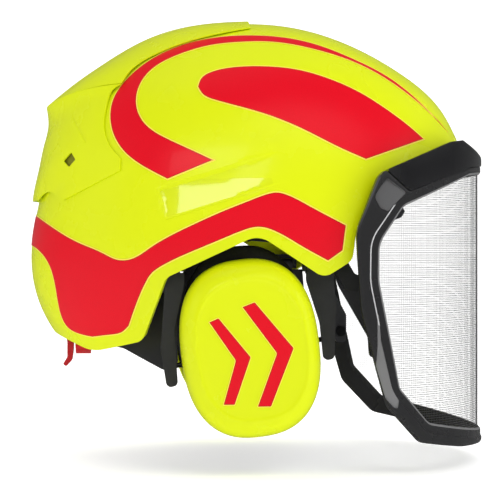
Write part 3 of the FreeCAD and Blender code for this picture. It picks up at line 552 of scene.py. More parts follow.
def mirrored_sheet(name, outer, inner, faces, middle, mat, body, slot_name, marks=None, extra=()):
    """A thick sheet with its mirror image in Y; points flagged as middle are shared."""
    fresh = np.flatnonzero(~middle)
    twin = np.arange(len(outer))
    twin[fresh] = len(outer) + np.arange(len(fresh))
    sheets = []
    for points in (outer, inner):
        points = points.copy()
        points[middle, 1] = 0
        sheets.append(np.concatenate([points, points[fresh] * (1, -1, 1)]))
    faces = np.concatenate([faces, twin[faces][:, ::-1]])
    if marks is not None:
        marks = np.concatenate([marks, marks])
    return thick_sheet(name, *sheets, faces, mat, body, slot_name, marks, extra)


# Side-view outlines on the shell, unrolled to a plane so that they can be filled with even triangles.


def unroll(line, grow=0.0, hood=False):
    """Side-view points as plane points; points past the silhouette land past the plane's edge."""
    phi, far = directions(line, CENTRE)
    theta = np.arcsin(np.clip(far / (shell_reach(phi) + grow), 0, 1))
    for _ in range(6):
        theta = np.arcsin(np.clip(far / reach(phi, side_of(theta, grow), grow, hood), 0, 1))
    edge = shell_reach(phi) + (bulge(phi) if hood else 0) + grow
    theta = np.where(far >= edge, math.pi / 2 * far / edge, theta)
    return tidy_loop(polar(shell_reach(phi) * theta, phi))


def silhouette():
    phi = np.arange(0, math.tau, math.radians(0.5))
    return polar(shell_reach(phi) * math.pi / 2, phi)


def skin(flat):
    """Direction and latitude of plane points, and which of them lie on the middle plane."""
    phi, length = directions(flat, (0, 0))
    theta = length / shell_reach(phi)
    return phi, np.clip(theta, 0, math.pi / 2), theta > math.pi / 2 - 2e-4


def region(flat, faces, loops):
    """Faces whose middle lies in the first loop and in none of the others."""
    middles = flat[faces].mean(1)
    keep = inside(middles, loops[0])
    for loop in loops[1:]:
        keep &= ~inside(middles, loop)
    return keep


RIM = [
    (165, 112, 0), (75.5, 73.8, 10), (58.2, 42.5, 30), (55.4, 20.5, 8), (37.8, 9.6, 9),
    (-2.4, 36, 14), (-58.5, 9.8, 8), (-72.6, -29.5, 7), (-104, -37.6, 20), (-165, -12, 0),
    (-165, 220, 0), (165, 220, 0),
]
STRIPE = [
    [(-57.4, 69.1), (-71.9, 77.1), (-83.5, 86.3), (-90.4, 97.5), (-92.7, 108.9), (-91.1, 120.4),
     (-82.6, 134.1), (-66.5, 147.9), (-46.3, 157.4), (-26, 162.1), (-5.7, 163.5), (21.3, 161.8),
     (41.6, 156.9), (62.1, 148.8), (85.6, 137), (105.9, 120.5), (124.8, 102.8)],
    [(124.8, 102.8), (100.4, 122.8), (85, 134), (64.5, 144.9), (36, 153.6), (10.4, 157.9),
     (-9.8, 157.7), (-30, 155.4), (-50.1, 149.1), (-65.1, 140.7), (-73.2, 130.2), (-75.6, 119.5),
     (-73.7, 110.1), (-67.4, 101.8), (-57.8, 95.6), (-43.4, 88.6), (-28.1, 81.2)],
    [(-28.1, 81.2), (-57.4, 69.1)],
]
BROW = [
    [(-38.9, 127.2), (-36.4, 133.2), (-29.4, 137.6), (-15.1, 140.6), (3.6, 141.2), (25.5, 139),
     (44.3, 133.6), (63.1, 125.4), (78.9, 115.7), (95, 104.2), (105, 96.2)],
    [(105, 96.2), (64.2, 81.7)],
    [(64.2, 81.7), (48, 88.5), (23.4, 100.6), (-0.9, 110.1), (-28.2, 118), (-36, 122), (-38.9, 127.2)],
]
BAND = [
    [(-165, 62), (-138.5, 48.1), (-123.9, 38.7), (-111, 31.8), (-96, 25.4), (-87.4, 21.6),
     (-80, 21.9), (-68, 28.9), (-52.9, 37.7), (-37.9, 44.9), (-22.8, 51.6), (-7.7, 57.6),
     (2, 61.2), (9, 62.4), (16, 60.6), (28.9, 54.1), (51.7, 42.3)],
    [(51.7, 42.3), (49.6, 26.2)],
    [(49.6, 26.2), (40, 19.5)],
    [(40, 19.5), (22.7, 28.9), (7.5, 37.4), (-2.4, 40), (-12, 37.8), (-22.8, 33.4), (-37.9, 27.1),
     (-60, 16.8), (-66.5, 12), (-69.8, 6.8), (-80.1, -20)],
    [(-80.1, -20), (-84.6, -24.4), (-92.5, -26.4), (-103.3, -28.1)],
    [(-103.3, -28.1), (-118.8, -23.2), (-126.3, -2.3), (-134, 21.7), (-142.3, 28.7), (-165, 32)],
    [(-165, 32), (-165, 62)],
]


def ridge_line(shift):
    """The hood's ridge in side view, from the middle plane outwards, moved up by a little."""
    y = np.linspace(0, RIDGE_REACH, 12)
    turn = RIDGE_TURN - RIDGE_LEAN * (y / RIDGE_REACH) ** 2
    theta = np.arcsin((1 - (y / (HALF + 1)) ** SIDE_POWER) ** (1 / RIM_POWER))
    return [(x, z + shift) for x, z in lift(turn, theta, 1.0, True)[:, [0, 2]]]


above_ridge, below_ridge = ridge_line(0.3), ridge_line(-0.3)
CROWN_COVER = [
    [(-2.5, 190), (-2.9, 170.1)],
    [(-2.9, 170.1), (-35.6, 162.1), (-66, 150.5), (-80, 140.5), above_ridge[-1]],
    above_ridge[::-1],
    [above_ridge[0], (-165, 121)],
    [(-165, 121), (-165, 190)],
    [(-165, 190), (-2.5, 190)],
]
REAR_PANEL = [
    [below_ridge[-1], (-90.8, 128.3), (-94.5, 119), (-96.4, 108), (-93.4, 92.6), (-86, 83)],
    [(-86, 83), (-86.4, 75.4)],
    [(-86.4, 75.4), (-121.6, 58.2)],
    [(-121.6, 58.2), (-127.1, 62), (-132.8, 64), (-140, 59)],
    [(-140, 59), (-165, 59)],
    [(-165, 59), (-165, 120)],
    [(-165, 120), below_ridge[0]],
    below_ridge,
]
GROOVE = [(-116.3, 110.5), (-112.5, 102), (-108, 94.5)]
DIAMOND = [(-117.2, 88.4, 0.6), (-114.2, 83.4, 0.6), (-118.4, 78.8, 0.6), (-122.2, 83.1, 0.6)]

SCOOP_START = np.array([-58.3, 46.6])
SCOOP_ALONG = np.array([0.955, 0.297])
SCOOP_ACROSS = np.array([-0.297, 0.955])
SCOOP_DEPTH = 2.6
SCOOP_HEIGHT = 17.0
SCOOP_LIP = 19.0
SCOOP_FADE = 40.0
SCOOP_END = 82.0
REAR_WALL = (-1.0, 0.6)
BEAD_RISE = (-1.6, -1.2)
BEAD_FALL = (-0.5, 0.0)
BEAD_HEIGHT = 0.35
POLISH_END = 68.0
POLISH_TOP = 25.1
POLISH_SLOPE = 0.311


def ramp(value, low, high):
    """0 up to low, 1 from high on, and smooth in between."""
    t = np.clip((value - low) / (high - low), 0, 1)
    return t * t * (3 - 2 * t)


def on_scoop(along, above):
    """The shell's plane points at distances along and above the lower edge of the facet."""
    return unroll(SCOOP_START + np.outer(along, SCOOP_ALONG) + np.outer(above, SCOOP_ACROSS))


def scoop_frame(points):
    """How far points lie along and above the lower edge of the facet, seen from the side."""
    spots = points[:, [0, 2]] - SCOOP_START
    return spots @ SCOOP_ALONG, spots @ SCOOP_ACROSS


def scoop(points):
    """How far the pressed-in facet above the lower band lies below the smooth shell."""
    along, above = scoop_frame(points)
    wall = ramp(along, *REAR_WALL)
    tilted = np.clip(above / SCOOP_HEIGHT, 0, 1) * (1 - ramp(above, SCOOP_HEIGHT, SCOOP_LIP))
    bead = BEAD_HEIGHT * (ramp(above, *BEAD_RISE) - ramp(above, *BEAD_FALL)) * wall
    return (SCOOP_DEPTH * tilted + bead) * wall * (1 - ramp(along, SCOOP_FADE, SCOOP_END))


def polish_top(along):
    """Where the polished part of the facet ends; it narrows towards the front."""
    return POLISH_TOP - POLISH_SLOPE * along


def near(distance, width):
    """1 at no distance, falling evenly to 0 at the width."""
    return 1 - np.clip(distance / width, 0, 1)


def press(points, amount):
    """Moves shell points towards the centre by an amount in millimetres."""
    middle = np.array([CENTRE[0], 0, CENTRE[1]])
    way = points - middle
    return points - way / np.linalg.norm(way, axis=1)[:, None] * amount[:, None]


SHELL_WALL = 3.4
EDGE_STRIP = 0.85
DARK_LINE = 1.3
FILM_TOP = 0.34
FILM_BOTTOM = 0.04
HOOD_WALL = 0.9
GROOVE_HALF = 0.6
GROOVE_DEPTH = 0.45
FILMS = {"crown_stripe_film": STRIPE, "brow_panel_film": BROW, "lower_band_film": BAND}
VENT = [(-117.1, 91, 2), (-111.5, 83.4, 2), (-118.6, 76, 2), (-125, 83.1, 2)]

rim_loop = unroll(rounded(RIM))
vent_loop = unroll(rounded(VENT, 0.9))
edge_of_shell = silhouette()
film_loops = {node: unroll(runs(*outline, step=1.2)) for node, outline in FILMS.items()}
strip_loops, line_loops = (
    {node: inset_loop(loop, amount) for node, loop in film_loops.items()}
    for amount in (EDGE_STRIP, DARK_LINE))
steps = np.arange(REAR_WALL[0], SCOOP_END, 1.5)
rises = np.arange(-1, 18.6, 1.5)
edges = (*BEAD_RISE, *BEAD_FALL, SCOOP_HEIGHT, SCOOP_HEIGHT + 1, SCOOP_LIP)
crease_paths = [on_scoop(steps, np.full_like(steps, above)) for above in edges]
crease_paths += [
    on_scoop(np.full_like(rises, along), rises) for along in (REAR_WALL[0], -0.2, REAR_WALL[1], POLISH_END)]
steps = np.arange(26, 76, 1.5)
crease_paths.append(on_scoop(steps, polish_top(steps)))
flat, faces = triangulate(
    [rim_loop, vent_loop, *film_loops.values(), *strip_loops.values(), *line_loops.values()],
    crease_paths, 2.8, edge_of_shell)
phi, theta, on_middle = skin(flat)
faces = faces[region(flat, faces, [edge_of_shell])]
outer = lift(phi, theta)
dent = scoop(outer)


def shell_part(name, keep, top, bottom, mat, slot_name, marks, extra):
    layers = (press(lift(phi, theta, grow), dent) for grow in (top, bottom))
    return mirrored_sheet(name, *layers, faces[keep], on_middle, mat, "helmet", slot_name, marks, extra)


in_rim = region(flat, faces, [rim_loop])
# Faces behind the vent take the dark olive, painted shade for the hollow; faces of the pressed facet take the
# glossier yellow.
marks = region(flat, faces[in_rim], [vent_loop]).astype(np.int32)
along, above = scoop_frame(outer[faces[in_rim]].mean(1))
polished = (along > REAR_WALL[1]) & (along < POLISH_END) & (above > 0) & (above < SCOOP_HEIGHT)
marks[polished & (above < polish_top(along))] = 2
shell = shell_part("shell", in_rim, 0, -SHELL_WALL, YELLOW, "shell_yellow", marks, (VENT_SHADE, POLISHED))
rounded_edges(shell, 0.0009, 3, 50)
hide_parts("outer_shell")
for node in FILMS:
    keep = region(flat, faces, [film_loops[node]]) & in_rim
    marks = region(flat, faces[keep], [strip_loops[node]]).astype(np.int32)
    marks += region(flat, faces[keep], [line_loops[node]])
    name = node.replace("_film", "_sheet")
    piece = shell_part(name, keep, FILM_TOP, FILM_BOTTOM, EDGE, "film_red", marks, (DARK_RED, RED))
    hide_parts(node)


def hood_part(name, node, outline, spacing, holes=(), groove=()):
    """A thin cover over the rear hood, with holes and a pressed groove where given."""
    loops = [unroll(line, 1.0, True) for line in (outline, *holes)]
    if len(groove):
        groove = resample(groove, 0.8)
    paths = [unroll(groove + (d, d * 0.45), 1.0, True) for d in (-GROOVE_HALF, 0, GROOVE_HALF) if len(groove)]
    flat, faces = triangulate(loops, paths, spacing, edge_of_shell)
    faces = faces[region(flat, faces, loops) & region(flat, faces, [edge_of_shell])]
    phi, theta, on_middle = skin(flat)
    top = lift(phi, theta, 1.0, True)
    if len(groove):
        away = distance_to(groove, top[:, [0, 2]])
        top = press(top, GROOVE_DEPTH * near(away, GROOVE_HALF))
    bottom = lift(phi, theta, 1.0 - HOOD_WALL, True)
    obj = mirrored_sheet(name, top, bottom, faces, on_middle, YELLOW, "helmet", "shell_yellow")
    rounded_edges(obj, 0.0004, 2, 50)
    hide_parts(node)


hood_part("crown_cover", "crown_vent_cover", runs(*CROWN_COVER), 2.2)
hood_part("rear_panel", "rear_vent_panel", runs(*REAR_PANEL), 2.0, (rounded(DIAMOND, 0.8),), GROOVE)

# ---------------------------------------------------------------- visor

WALL_CENTRE = 58.0
WALL_LENGTH = 96.0
WALL_HALF = 115.5
MESH_INSET = 2.65
RAIL_WALL = 5.0
RAIL_ROUND = 1.2
LIP = 1.3
RIDGE = 5.5
RIDGE_WIDTH = 0.9
LIP_STEP, RIDGE_STEP, EDGE_STEP = 1.1, 0.7, 0.5
FACET_DEPTH, FACET_TILT = 0.25, 0.12
RIDGE_SHINE = (-19, 54)
FACET_STEP = 0.4
CATCH_DEPTHS = (1.7, 3.3)
WIRE_PITCH = 1.5
WIRE_DOWN = 0.055
WIRE_ACROSS = 0.12
FRAME = [
    (74.6, 75.4, 2), (90, 62.5, 3), (136, 79, 12), (165, 84.2, 0), (165, -99.5, 0), (128, -96.8, 30),
    (99, -91.5, 10), (76.4, -68.6, 12), (69.6, -46, 25), (59.6, -10, 60), (56.3, 38, 25), (70, 71, 8),
]
WINDOW = [
    (165, 78.6, 0), (165, -92.5, 0), (104, -79.5, 8), (84.5, -57.5, 6), (71, 8, 40), (71.3, 31, 18),
    (87, 53.5, 10), (136, 74.2, 12),
]
HIGH_FACET = [
    (75.6, 70.6, 1), (87.8, 61.8, 1), (79.2, 53.6, 5), (76.1, 50.2, 1), (71.3, 52.1, 3), (67.4, 59, 4),
    (71.3, 65.2, 6),
]
LOW_FACET = [
    (69.4, 1, 0.5), (71.5, -28.2, 20), (78.4, -56.8, 20), (82.9, -64.6, 2), (82.3, -70, 1), (79.2, -68.4, 3),
    (72.1, -60.5, 8), (68.3, -46, 12), (69.4, -32, 20),
]
LATCH = [(85.4, 54.2, 0.5), (88, 50.4, 1), (85.6, 46.7, 1.5), (80.8, 45, 0.6), (78.4, 48.2, 0.5)]
wall_turns = np.linspace(0, math.pi / 2, 600)
wall_steps = np.hypot(np.diff(WALL_LENGTH * np.cos(wall_turns)), np.diff(WALL_HALF * np.sin(wall_turns)))
wall_run = np.concatenate([[0], np.cumsum(wall_steps)])


def wall_place(run, z, inset):
    """Points of the visor wall at a run from its front, a height and a depth below its outside."""
    run = np.asarray(run, float)
    turn = np.interp(run, wall_run, wall_turns)
    back = np.maximum(run - wall_run[-1], 0)
    out = unit(polar(1, turn) / (WALL_LENGTH, WALL_HALF))
    x = WALL_CENTRE + WALL_LENGTH * np.cos(turn) - back - out[..., 0] * inset
    y = WALL_HALF * np.sin(turn) - out[..., 1] * inset
    return np.stack([x, -y, np.broadcast_to(z, x.shape)], axis=-1)


def wall_unroll(line):
    """Side-view points as points on the unrolled visor wall."""
    x = line[:, 0]
    turn = np.arccos(np.clip((x - WALL_CENTRE) / WALL_LENGTH, 0, 1))
    run = np.interp(turn, wall_turns, wall_run)
    run = run + np.maximum(WALL_CENTRE - x, 0) - np.maximum(x - WALL_CENTRE - WALL_LENGTH, 0)
    return tidy_loop(np.stack([run, line[:, 1]], axis=-1))


def visor_rail():
    """The moulded visor frame: a rim round the window, a stepped ridge and two sunk facets; the facets, the
    window lip and part of the ridge get paler greys as painted light.
    """
    outer_loop = wall_unroll(rounded(FRAME, 1.2))
    window = wall_unroll(rounded(WINDOW, 1.2))
    rings = [inset_loop(window, -d) for d in (LIP, RIDGE, RIDGE + RIDGE_WIDTH)]
    facets = [wall_unroll(rounded(outline, 1.0)) for outline in (HIGH_FACET, LOW_FACET)]
    floors = [inset_loop(loop, FACET_STEP) for loop in facets]
    edge = inset_loop(outer_loop, RAIL_ROUND)
    reach = wall_run[-1] + 4
    domain = np.array([(0.0, -106), (reach, -106), (reach, 84), (0, 84)])
    domain = np.concatenate([resample([p, q], 2.0)[:-1] for p, q in zip(domain, np.roll(domain, -1, axis=0))])
    flat, faces = triangulate([outer_loop, window, edge, *rings, *facets, *floors], [], 2.0, domain)
    faces = faces[region(flat, faces, [outer_loop, window])]
    faces = faces[flat[faces][:, :, 0].mean(1) > 0]
    from_window = distance_to(window, flat)
    inset = RIDGE_STEP * near(from_window - RIDGE, RIDGE_WIDTH) + LIP_STEP * near(from_window, LIP)
    inset += EDGE_STEP * near(distance_to(outer_loop, flat), RAIL_ROUND) ** 2
    for loop in facets:
        sunk = (1 - near(distance_to(loop, flat), FACET_STEP)) * inside(flat, loop)
        inset += sunk * (FACET_DEPTH + FACET_TILT * np.maximum(from_window - 6.2, 0))
    # The upper facet, the lower facet and the window lip take paler greys, painted light for faces that catch
    # the lamps.
    marks = region(flat, faces, [facets[0]]) + 3 * region(flat, faces, [facets[1]]).astype(np.int32)
    middles = flat[faces].mean(1)
    depth, height = distance_to(window, middles), middles[:, 1]
    marks[depth < LIP] = 3
    # A stretch of the ridge takes a pale grey, a painted highlight for the line of light along it.
    on_ridge = (depth > RIDGE) & (depth < RIDGE + RIDGE_WIDTH)
    marks[on_ridge & (height > RIDGE_SHINE[0]) & (height < RIDGE_SHINE[1])] = 2
    middle = flat[:, 0] < 1e-3
    flat[middle, 0] = 0
    layers = (wall_place(flat[:, 0], flat[:, 1], below) for below in (inset, RAIL_WALL))
    obj = mirrored_sheet("visor_rail", *layers, faces, middle, FRAME_GREY, "visor", "dark_grey_plastic",
                         marks, (FACET_PAINTED_LIGHT, RIDGE_PAINTED_HIGHLIGHT, BEVEL_PAINTED_HIGHLIGHT))
    obj.data.set_sharp_from_angle(angle=math.radians(22))
    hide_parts("visor_frame")


def wire_mesh():
    """Crossed wires that follow the visor wall, clipped to the window with a small lap."""
    window = inset_loop(wall_unroll(rounded(WINDOW, 1.2)), -3.0)
    reach = wall_run[-1]
    verts, faces = [], []

    def pieces(run, z):
        """The stretches of one wire that lie in the window."""
        place = wall_place(np.abs(run), z, MESH_INSET)
        place[:, 1] *= np.where(run < 0, 1, -1)
        flags = inside(np.stack([np.abs(run), z], axis=-1), window)
        ends = np.flatnonzero(np.diff(np.concatenate([[False], flags, [False]]).astype(int)))
        return [place[i:j] for i, j in zip(ends[::2], ends[1::2]) if j - i > 1]

    def tube(points, side, up, radius):
        start = len(verts)
        for point in points:
            for turn in math.pi / 4 + np.arange(4) * math.pi / 2:
                verts.append(point + (side * math.cos(turn) + up * math.sin(turn)) * radius)
        faces.extend(tube_faces(len(points), 4, start) + end_faces(len(points), 4, start))

    x_axis, y_axis, z_axis = np.eye(3)
    heights = np.arange(-96, 88, 0.8)
    for run in np.arange(-reach, reach, WIRE_PITCH):
        for points in pieces(np.full_like(heights, run), heights):
            tube(points[[0, len(points) // 2, -1]], x_axis, y_axis, WIRE_DOWN)
    widths = np.arange(-reach, reach, 3.2)
    for z in np.arange(-95, 88, WIRE_PITCH):
        for points in pieces(widths, np.full_like(widths, z)):
            tube(points, x_axis, z_axis, WIRE_ACROSS)
    obj = mesh_object("wire_mesh", np.array(verts) * MM, faces, WIRE, "visor", smooth=False)
    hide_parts("visor_mesh")


def catches():
    """A small catch on each side that tucks under the rail and holds the mesh."""
    loop = wall_unroll(rounded(LATCH, 0.6))
    verts, faces = [], []
    for side in (1, -1):
        start = len(verts)
        for inset in CATCH_DEPTHS:
            verts.extend(wall_place(loop[:, 0], loop[:, 1], inset) * (1, side, 1))
        faces += [face[::side] for face in tube_faces(2, len(loop), start) + end_faces(2, len(loop), start)]
    obj = mesh_object(
        "mesh_catches", np.array(verts) * MM, faces, BLACK, "visor", smooth=False)
    weld(obj)
    rounded_edges(obj, 0.0003)
    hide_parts("mesh_latches")


visor_rail()
catches()
wire_mesh()

for mat, bevel, pieces in (
        (DARK_GLOSS, 0.0009, ("visor_brow_bar",)),
        (FRAME_GREY, 0.0004, ("mesh_retainer",)),
        (CHARCOAL, 0.0008, ("visor_arm_right", "visor_arm_left")),
        (BLACK, 0.0004, ("visor_arm_guides", "visor_pivot_brackets", "ear_hinge_brackets", "adjuster_housing",
                         "harness_clips", "lever_bracket", "headband")),
        (STEEL, 0.00015, ("visor_pivot_pins", "ear_hinge_pins", "lever_pin")),
        (BLACK_SCREW, 0.0002, ("bracket_screws", "visor_screws")),
        (FOAM, 0.0015, ("inner_liner",)),
        (KNOB_RED, 0.0005, ("size_knob",)),
        (KNOB_RED, 0.0006, ("release_lever",)),
        (CHARCOAL, 0.0006, ("nape_cradle",)),
        (BLACK, 0.0005, ("right_ear_back_plate", "left_ear_back_plate")),
        (CHARCOAL, 0.0009, ("right_yoke_legs", "left_yoke_legs")),
        (BLACK, 0.0003, ("right_ear_sliders", "left_ear_sliders")),
        (BLACK_SCREW, 0.0002, ("right_tilt_pins", "left_tilt_pins"))):
    for node in pieces:
        paint(node, mat, bevel)

# ---------------------------------------------------------------- ear muffs

CUP = np.array([-7.0, -33.0])
CUP_HALF = np.array([42.3, 54.5])
CUP_FOOT = 93.5
CUP_WALL = 0.0024
LEAN = math.radians(7)
FILM_HEIGHTS = (122.35, 122.05)


def oval(scale, power=2.5, count=96):
    """The leaning outline of an ear cup in side view, between an oval and a rectangle."""
    axes = polar(1, math.tau * np.arange(count) / count)
    spots = CUP_HALF * scale * np.copysign(np.abs(axes) ** (2 / power), axes)
    turn, length = directions(spots, (0, 0))
    return CUP + polar(length, turn + LEAN)


CHEVRONS = (
    [(-33.6, -16.2, 0.6), (-27.3, -13.4, 1), (-7.6, -37.2, 1.5), (-17.4, -66.1, 1), (-24.9, -66.1, 0.6),
     (-17.5, -39.3, 1.5)],
    [(-13.8, -7.1, 0.6), (-5.6, -3.9, 1), (18.2, -31.9, 1.5), (4.4, -67.3, 1), (-4.5, -67.3, 0.6),
     (7.2, -35.1, 1.5)],
)
CUP_PROFILE = [
    (0, 0.985), (0.6, 1.0), (7, 1.0), (12, 0.995), (16, 0.984), (19.5, 0.966), (22.5, 0.94), (24.8, 0.908),
    (26.4, 0.876), (27.5, 0.846), (28.2, 0.822), (28.7, 0.8), (28.85, 0.785), (28.7, 0.77), (28.52, 0.752),
    (28.5, 0.735), (28.5, 0.6), (28.5, 0.4), (28.5, 0.2),
]


def ear_cup(name, side):
    """A hollow dome of rings, closed by triangles round a middle point."""
    verts = [(x, side * (CUP_FOOT + height), z) for height, scale in CUP_PROFILE for x, z in oval(scale)]
    rings, count = len(CUP_PROFILE), len(verts) // len(CUP_PROFILE)
    faces = tube_faces(rings, count)
    last = (rings - 1) * count
    verts.append(np.mean(verts[last:], axis=0))
    faces += [(last + i, last + (i + 1) % count, len(verts) - 1) for i in range(count)]
    cup = mesh_object(name + "_cup", np.array(verts) * MM, faces, YELLOW, name + "_muff")
    weld(cup)
    outward(cup, tuple(Vector((CUP[0], side * 95, CUP[1])) * MM))
    modifier(cup, "SUBSURF", levels=1, render_levels=1)
    modifier(cup, "SOLIDIFY", thickness=CUP_WALL, offset=-1)
    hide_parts(name + "_ear_cup")


def chevrons(name, side):
    """Both chevrons of a cup as one piece of film with a pale edge and a dark line."""
    loops = [tidy_loop(rounded(outline, 0.9)) for outline in CHEVRONS]
    strips = [inset_loop(loop, amount) for amount in (0.5, 0.9) for loop in loops]
    domain = np.array([(-40.0, -72), (24, -72), (24, 2), (-40, 2)])
    flat, faces = triangulate(loops + strips, [], 2.5, domain)
    keep = region(flat, faces, [loops[0]]) | region(flat, faces, [loops[1]])
    marks = sum(region(flat, faces[keep], [loop]).astype(np.int32) for loop in strips)
    layers = (np.stack([flat[:, 0], np.full(len(flat), side * y), flat[:, 1]], axis=-1) for y in FILM_HEIGHTS)
    obj = thick_sheet(name + "_chevrons", *layers, faces[keep], EDGE, name + "_muff", "film_red",
                      marks, (DARK_RED, RED))
    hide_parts(name + "_chevron_film")


for name, side in (("right", -1), ("left", 1)):
    ear_cup(name, side)
    chevrons(name, side)

# ---------------------------------------------------------------- soft goods

PUFF_FRAMES = 20
PUCKERS = 46
PUCKER_DEPTH = 0.00035
PUCKER_REACH = 0.042
BAND_RADIUS = 0.098
SEAM_DEPTH = 0.0009
SEAM_HALF = 0.0011
SEWN_RING = 0.015


def read_points(mesh):
    places = np.zeros(len(mesh.vertices) * 3, np.float32)
    mesh.vertices.foreach_get("co", places)
    return places.reshape(-1, 3).astype(float)


def write_points(mesh, places):
    mesh.vertices.foreach_set("co", np.asarray(places, np.float32).ravel())
    mesh.update()


def sink(mesh, depth):
    """Moves the points of a mesh inwards along their normals, in metres."""
    normals = np.zeros(len(mesh.vertices) * 3, np.float32)
    mesh.vertex_normals.foreach_get("vector", normals)
    write_points(mesh, read_points(mesh) - normals.reshape(-1, 3) * depth)


def evaluated(*objects):
    """The meshes of objects with their modifiers applied."""
    depsgraph = bpy.context.evaluated_depsgraph_get()
    return [bpy.data.meshes.new_from_object(obj.evaluated_get(depsgraph)) for obj in objects]


def plain_copy(name, node, voxel, shrink):
    """A remeshed copy of a CAD solid, slightly smaller, ready to be puffed up."""
    obj = new_object(name, nodes[node].data.copy())
    weld(obj)
    modifier(obj, "REMESH", mode="VOXEL", voxel_size=voxel)
    mesh, = evaluated(obj)
    obj.modifiers.clear()
    obj.data = mesh
    sink(mesh, shrink)
    return obj


def puff(pads):
    """Inflates every pad as cloth for a moment and keeps the movement under each pad's cap."""
    for obj, _ in pads:
        cloth = modifier(obj, "CLOTH")
        cloth.settings.quality = 5
        cloth.settings.mass = 0.3
        cloth.settings.use_pressure = True
        cloth.settings.uniform_pressure_force = 4
        cloth.settings.effector_weights.gravity = 0
        cloth.point_cache.frame_start, cloth.point_cache.frame_end = 1, PUFF_FRAMES
    scene = bpy.context.scene
    for step in range(1, PUFF_FRAMES + 1):
        scene.frame_set(step)
    results = [read_points(mesh) for mesh in evaluated(*(obj for obj, _ in pads))]
    for (obj, cap), after in zip(pads, results):
        obj.modifiers.clear()
        before = read_points(obj.data)
        move = after - before
        length = np.linalg.norm(move, axis=1)
        move *= (cap * np.tanh(length / cap) / np.maximum(length, 1e-9))[:, None]
        write_points(obj.data, before + move)
    scene.frame_set(1)


def finish_pad(obj, mat, body, node):
    obj.data.materials.clear()
    obj.data.materials.append(mat)
    obj.data.shade_smooth()
    modifier(obj, "SUBSURF", levels=1, render_levels=1)
    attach(obj, body)
    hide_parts(node)


def mirror_copy(obj, name):
    mesh = obj.data.copy()
    write_points(mesh, read_points(mesh) * (1, -1, 1))
    mesh.flip_normals()
    return new_object(name, mesh)


cushion = plain_copy("right_cushion", "right_ear_cushion", 0.003, 0.0012)
sweat = plain_copy("sweat_pad", "sweatband", 0.0017, 0.0004)
crown = plain_copy("crown_cushion", "crown_pad", 0.0015, 0.0003)
nape = plain_copy("nape_cushion", "nape_pad", 0.0017, 0.0004)
puff([(cushion, 0.005), (sweat, 0.0016), (crown, 0.0014), (nape, 0.0016)])

# The cushion stays flat against its back plate, and puckers towards its inner seam.
places = read_points(cushion.data)
low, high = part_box("right_ear_cushion")
centre = np.array([(low.x + high.x) / 2, (low.z + high.z) / 2])
turn, radius = directions(places[:, [0, 2]], centre)
pucker = PUCKER_DEPTH * np.sin(turn * PUCKERS) * np.clip((PUCKER_REACH - radius) / 0.012, 0, 1)
places[:, [0, 2]] += polar(pucker, turn)
places[:, 1] = np.maximum(places[:, 1], low.y + 0.0001)
write_points(cushion.data, places)
left_cushion = mirror_copy(cushion, "left_cushion")
finish_pad(cushion, LEATHERETTE, "right_muff", "right_ear_cushion")
finish_pad(left_cushion, LEATHERETTE, "left_muff", "left_ear_cushion")

# Sewn channels run across the sweatband and the nape pad.
for pad, pitch in ((sweat, 0.014), (nape, 0.016)):
    places = read_points(pad.data)
    run = BAND_RADIUS * np.arctan2(places[:, 1] / 0.78, places[:, 0] / 0.98)
    seam = np.exp(-((run % pitch - pitch / 2) / SEAM_HALF) ** 2)
    sink(pad.data, SEAM_DEPTH * seam[:, None])

# The crown pad has a sewn ring and eight spokes.
places = read_points(crown.data)
turn, radius = directions(places[:, :2], (0, 0))
spokes = np.exp(-(radius * np.sin(turn * 4) / 4 / 0.0009) ** 2) * np.clip(radius / 0.006 - 0.6, 0, 1)
ring = np.exp(-((radius - SEWN_RING) / 0.001) ** 2)
dip = 0.0007 * np.maximum(spokes * (radius < 0.0165), ring)
places[:, 2] -= np.sign(places[:, 2] - places[:, 2].mean()) * dip
write_points(crown.data, places)

for pad, body, node in (
        (sweat, "helmet", "sweatband"), (crown, "helmet", "crown_pad"), (nape, "nape", "nape_pad")):
    finish_pad(pad, BRUSHED, body, node)

# The open foam inside each cup is lumpy.
for name in ("right", "left"):
    foam = plain_copy(name + "_foam_block", name + "_acoustic_foam", 0.003, 0.0)
    places = read_points(foam.data)
    places[:, 1] += 0.0008 * np.sin(places[:, 0] / 0.0022) * np.sin(places[:, 2] / 0.0022)
    write_points(foam.data, places)
    finish_pad(foam, OPEN_FOAM, name + "_muff", name + "_acoustic_foam")

STRAP_HALF = 10.0
STRAP_WALL = 1.4
RIB_HEIGHT = 0.16
WEAVE_HEIGHT = 0.05


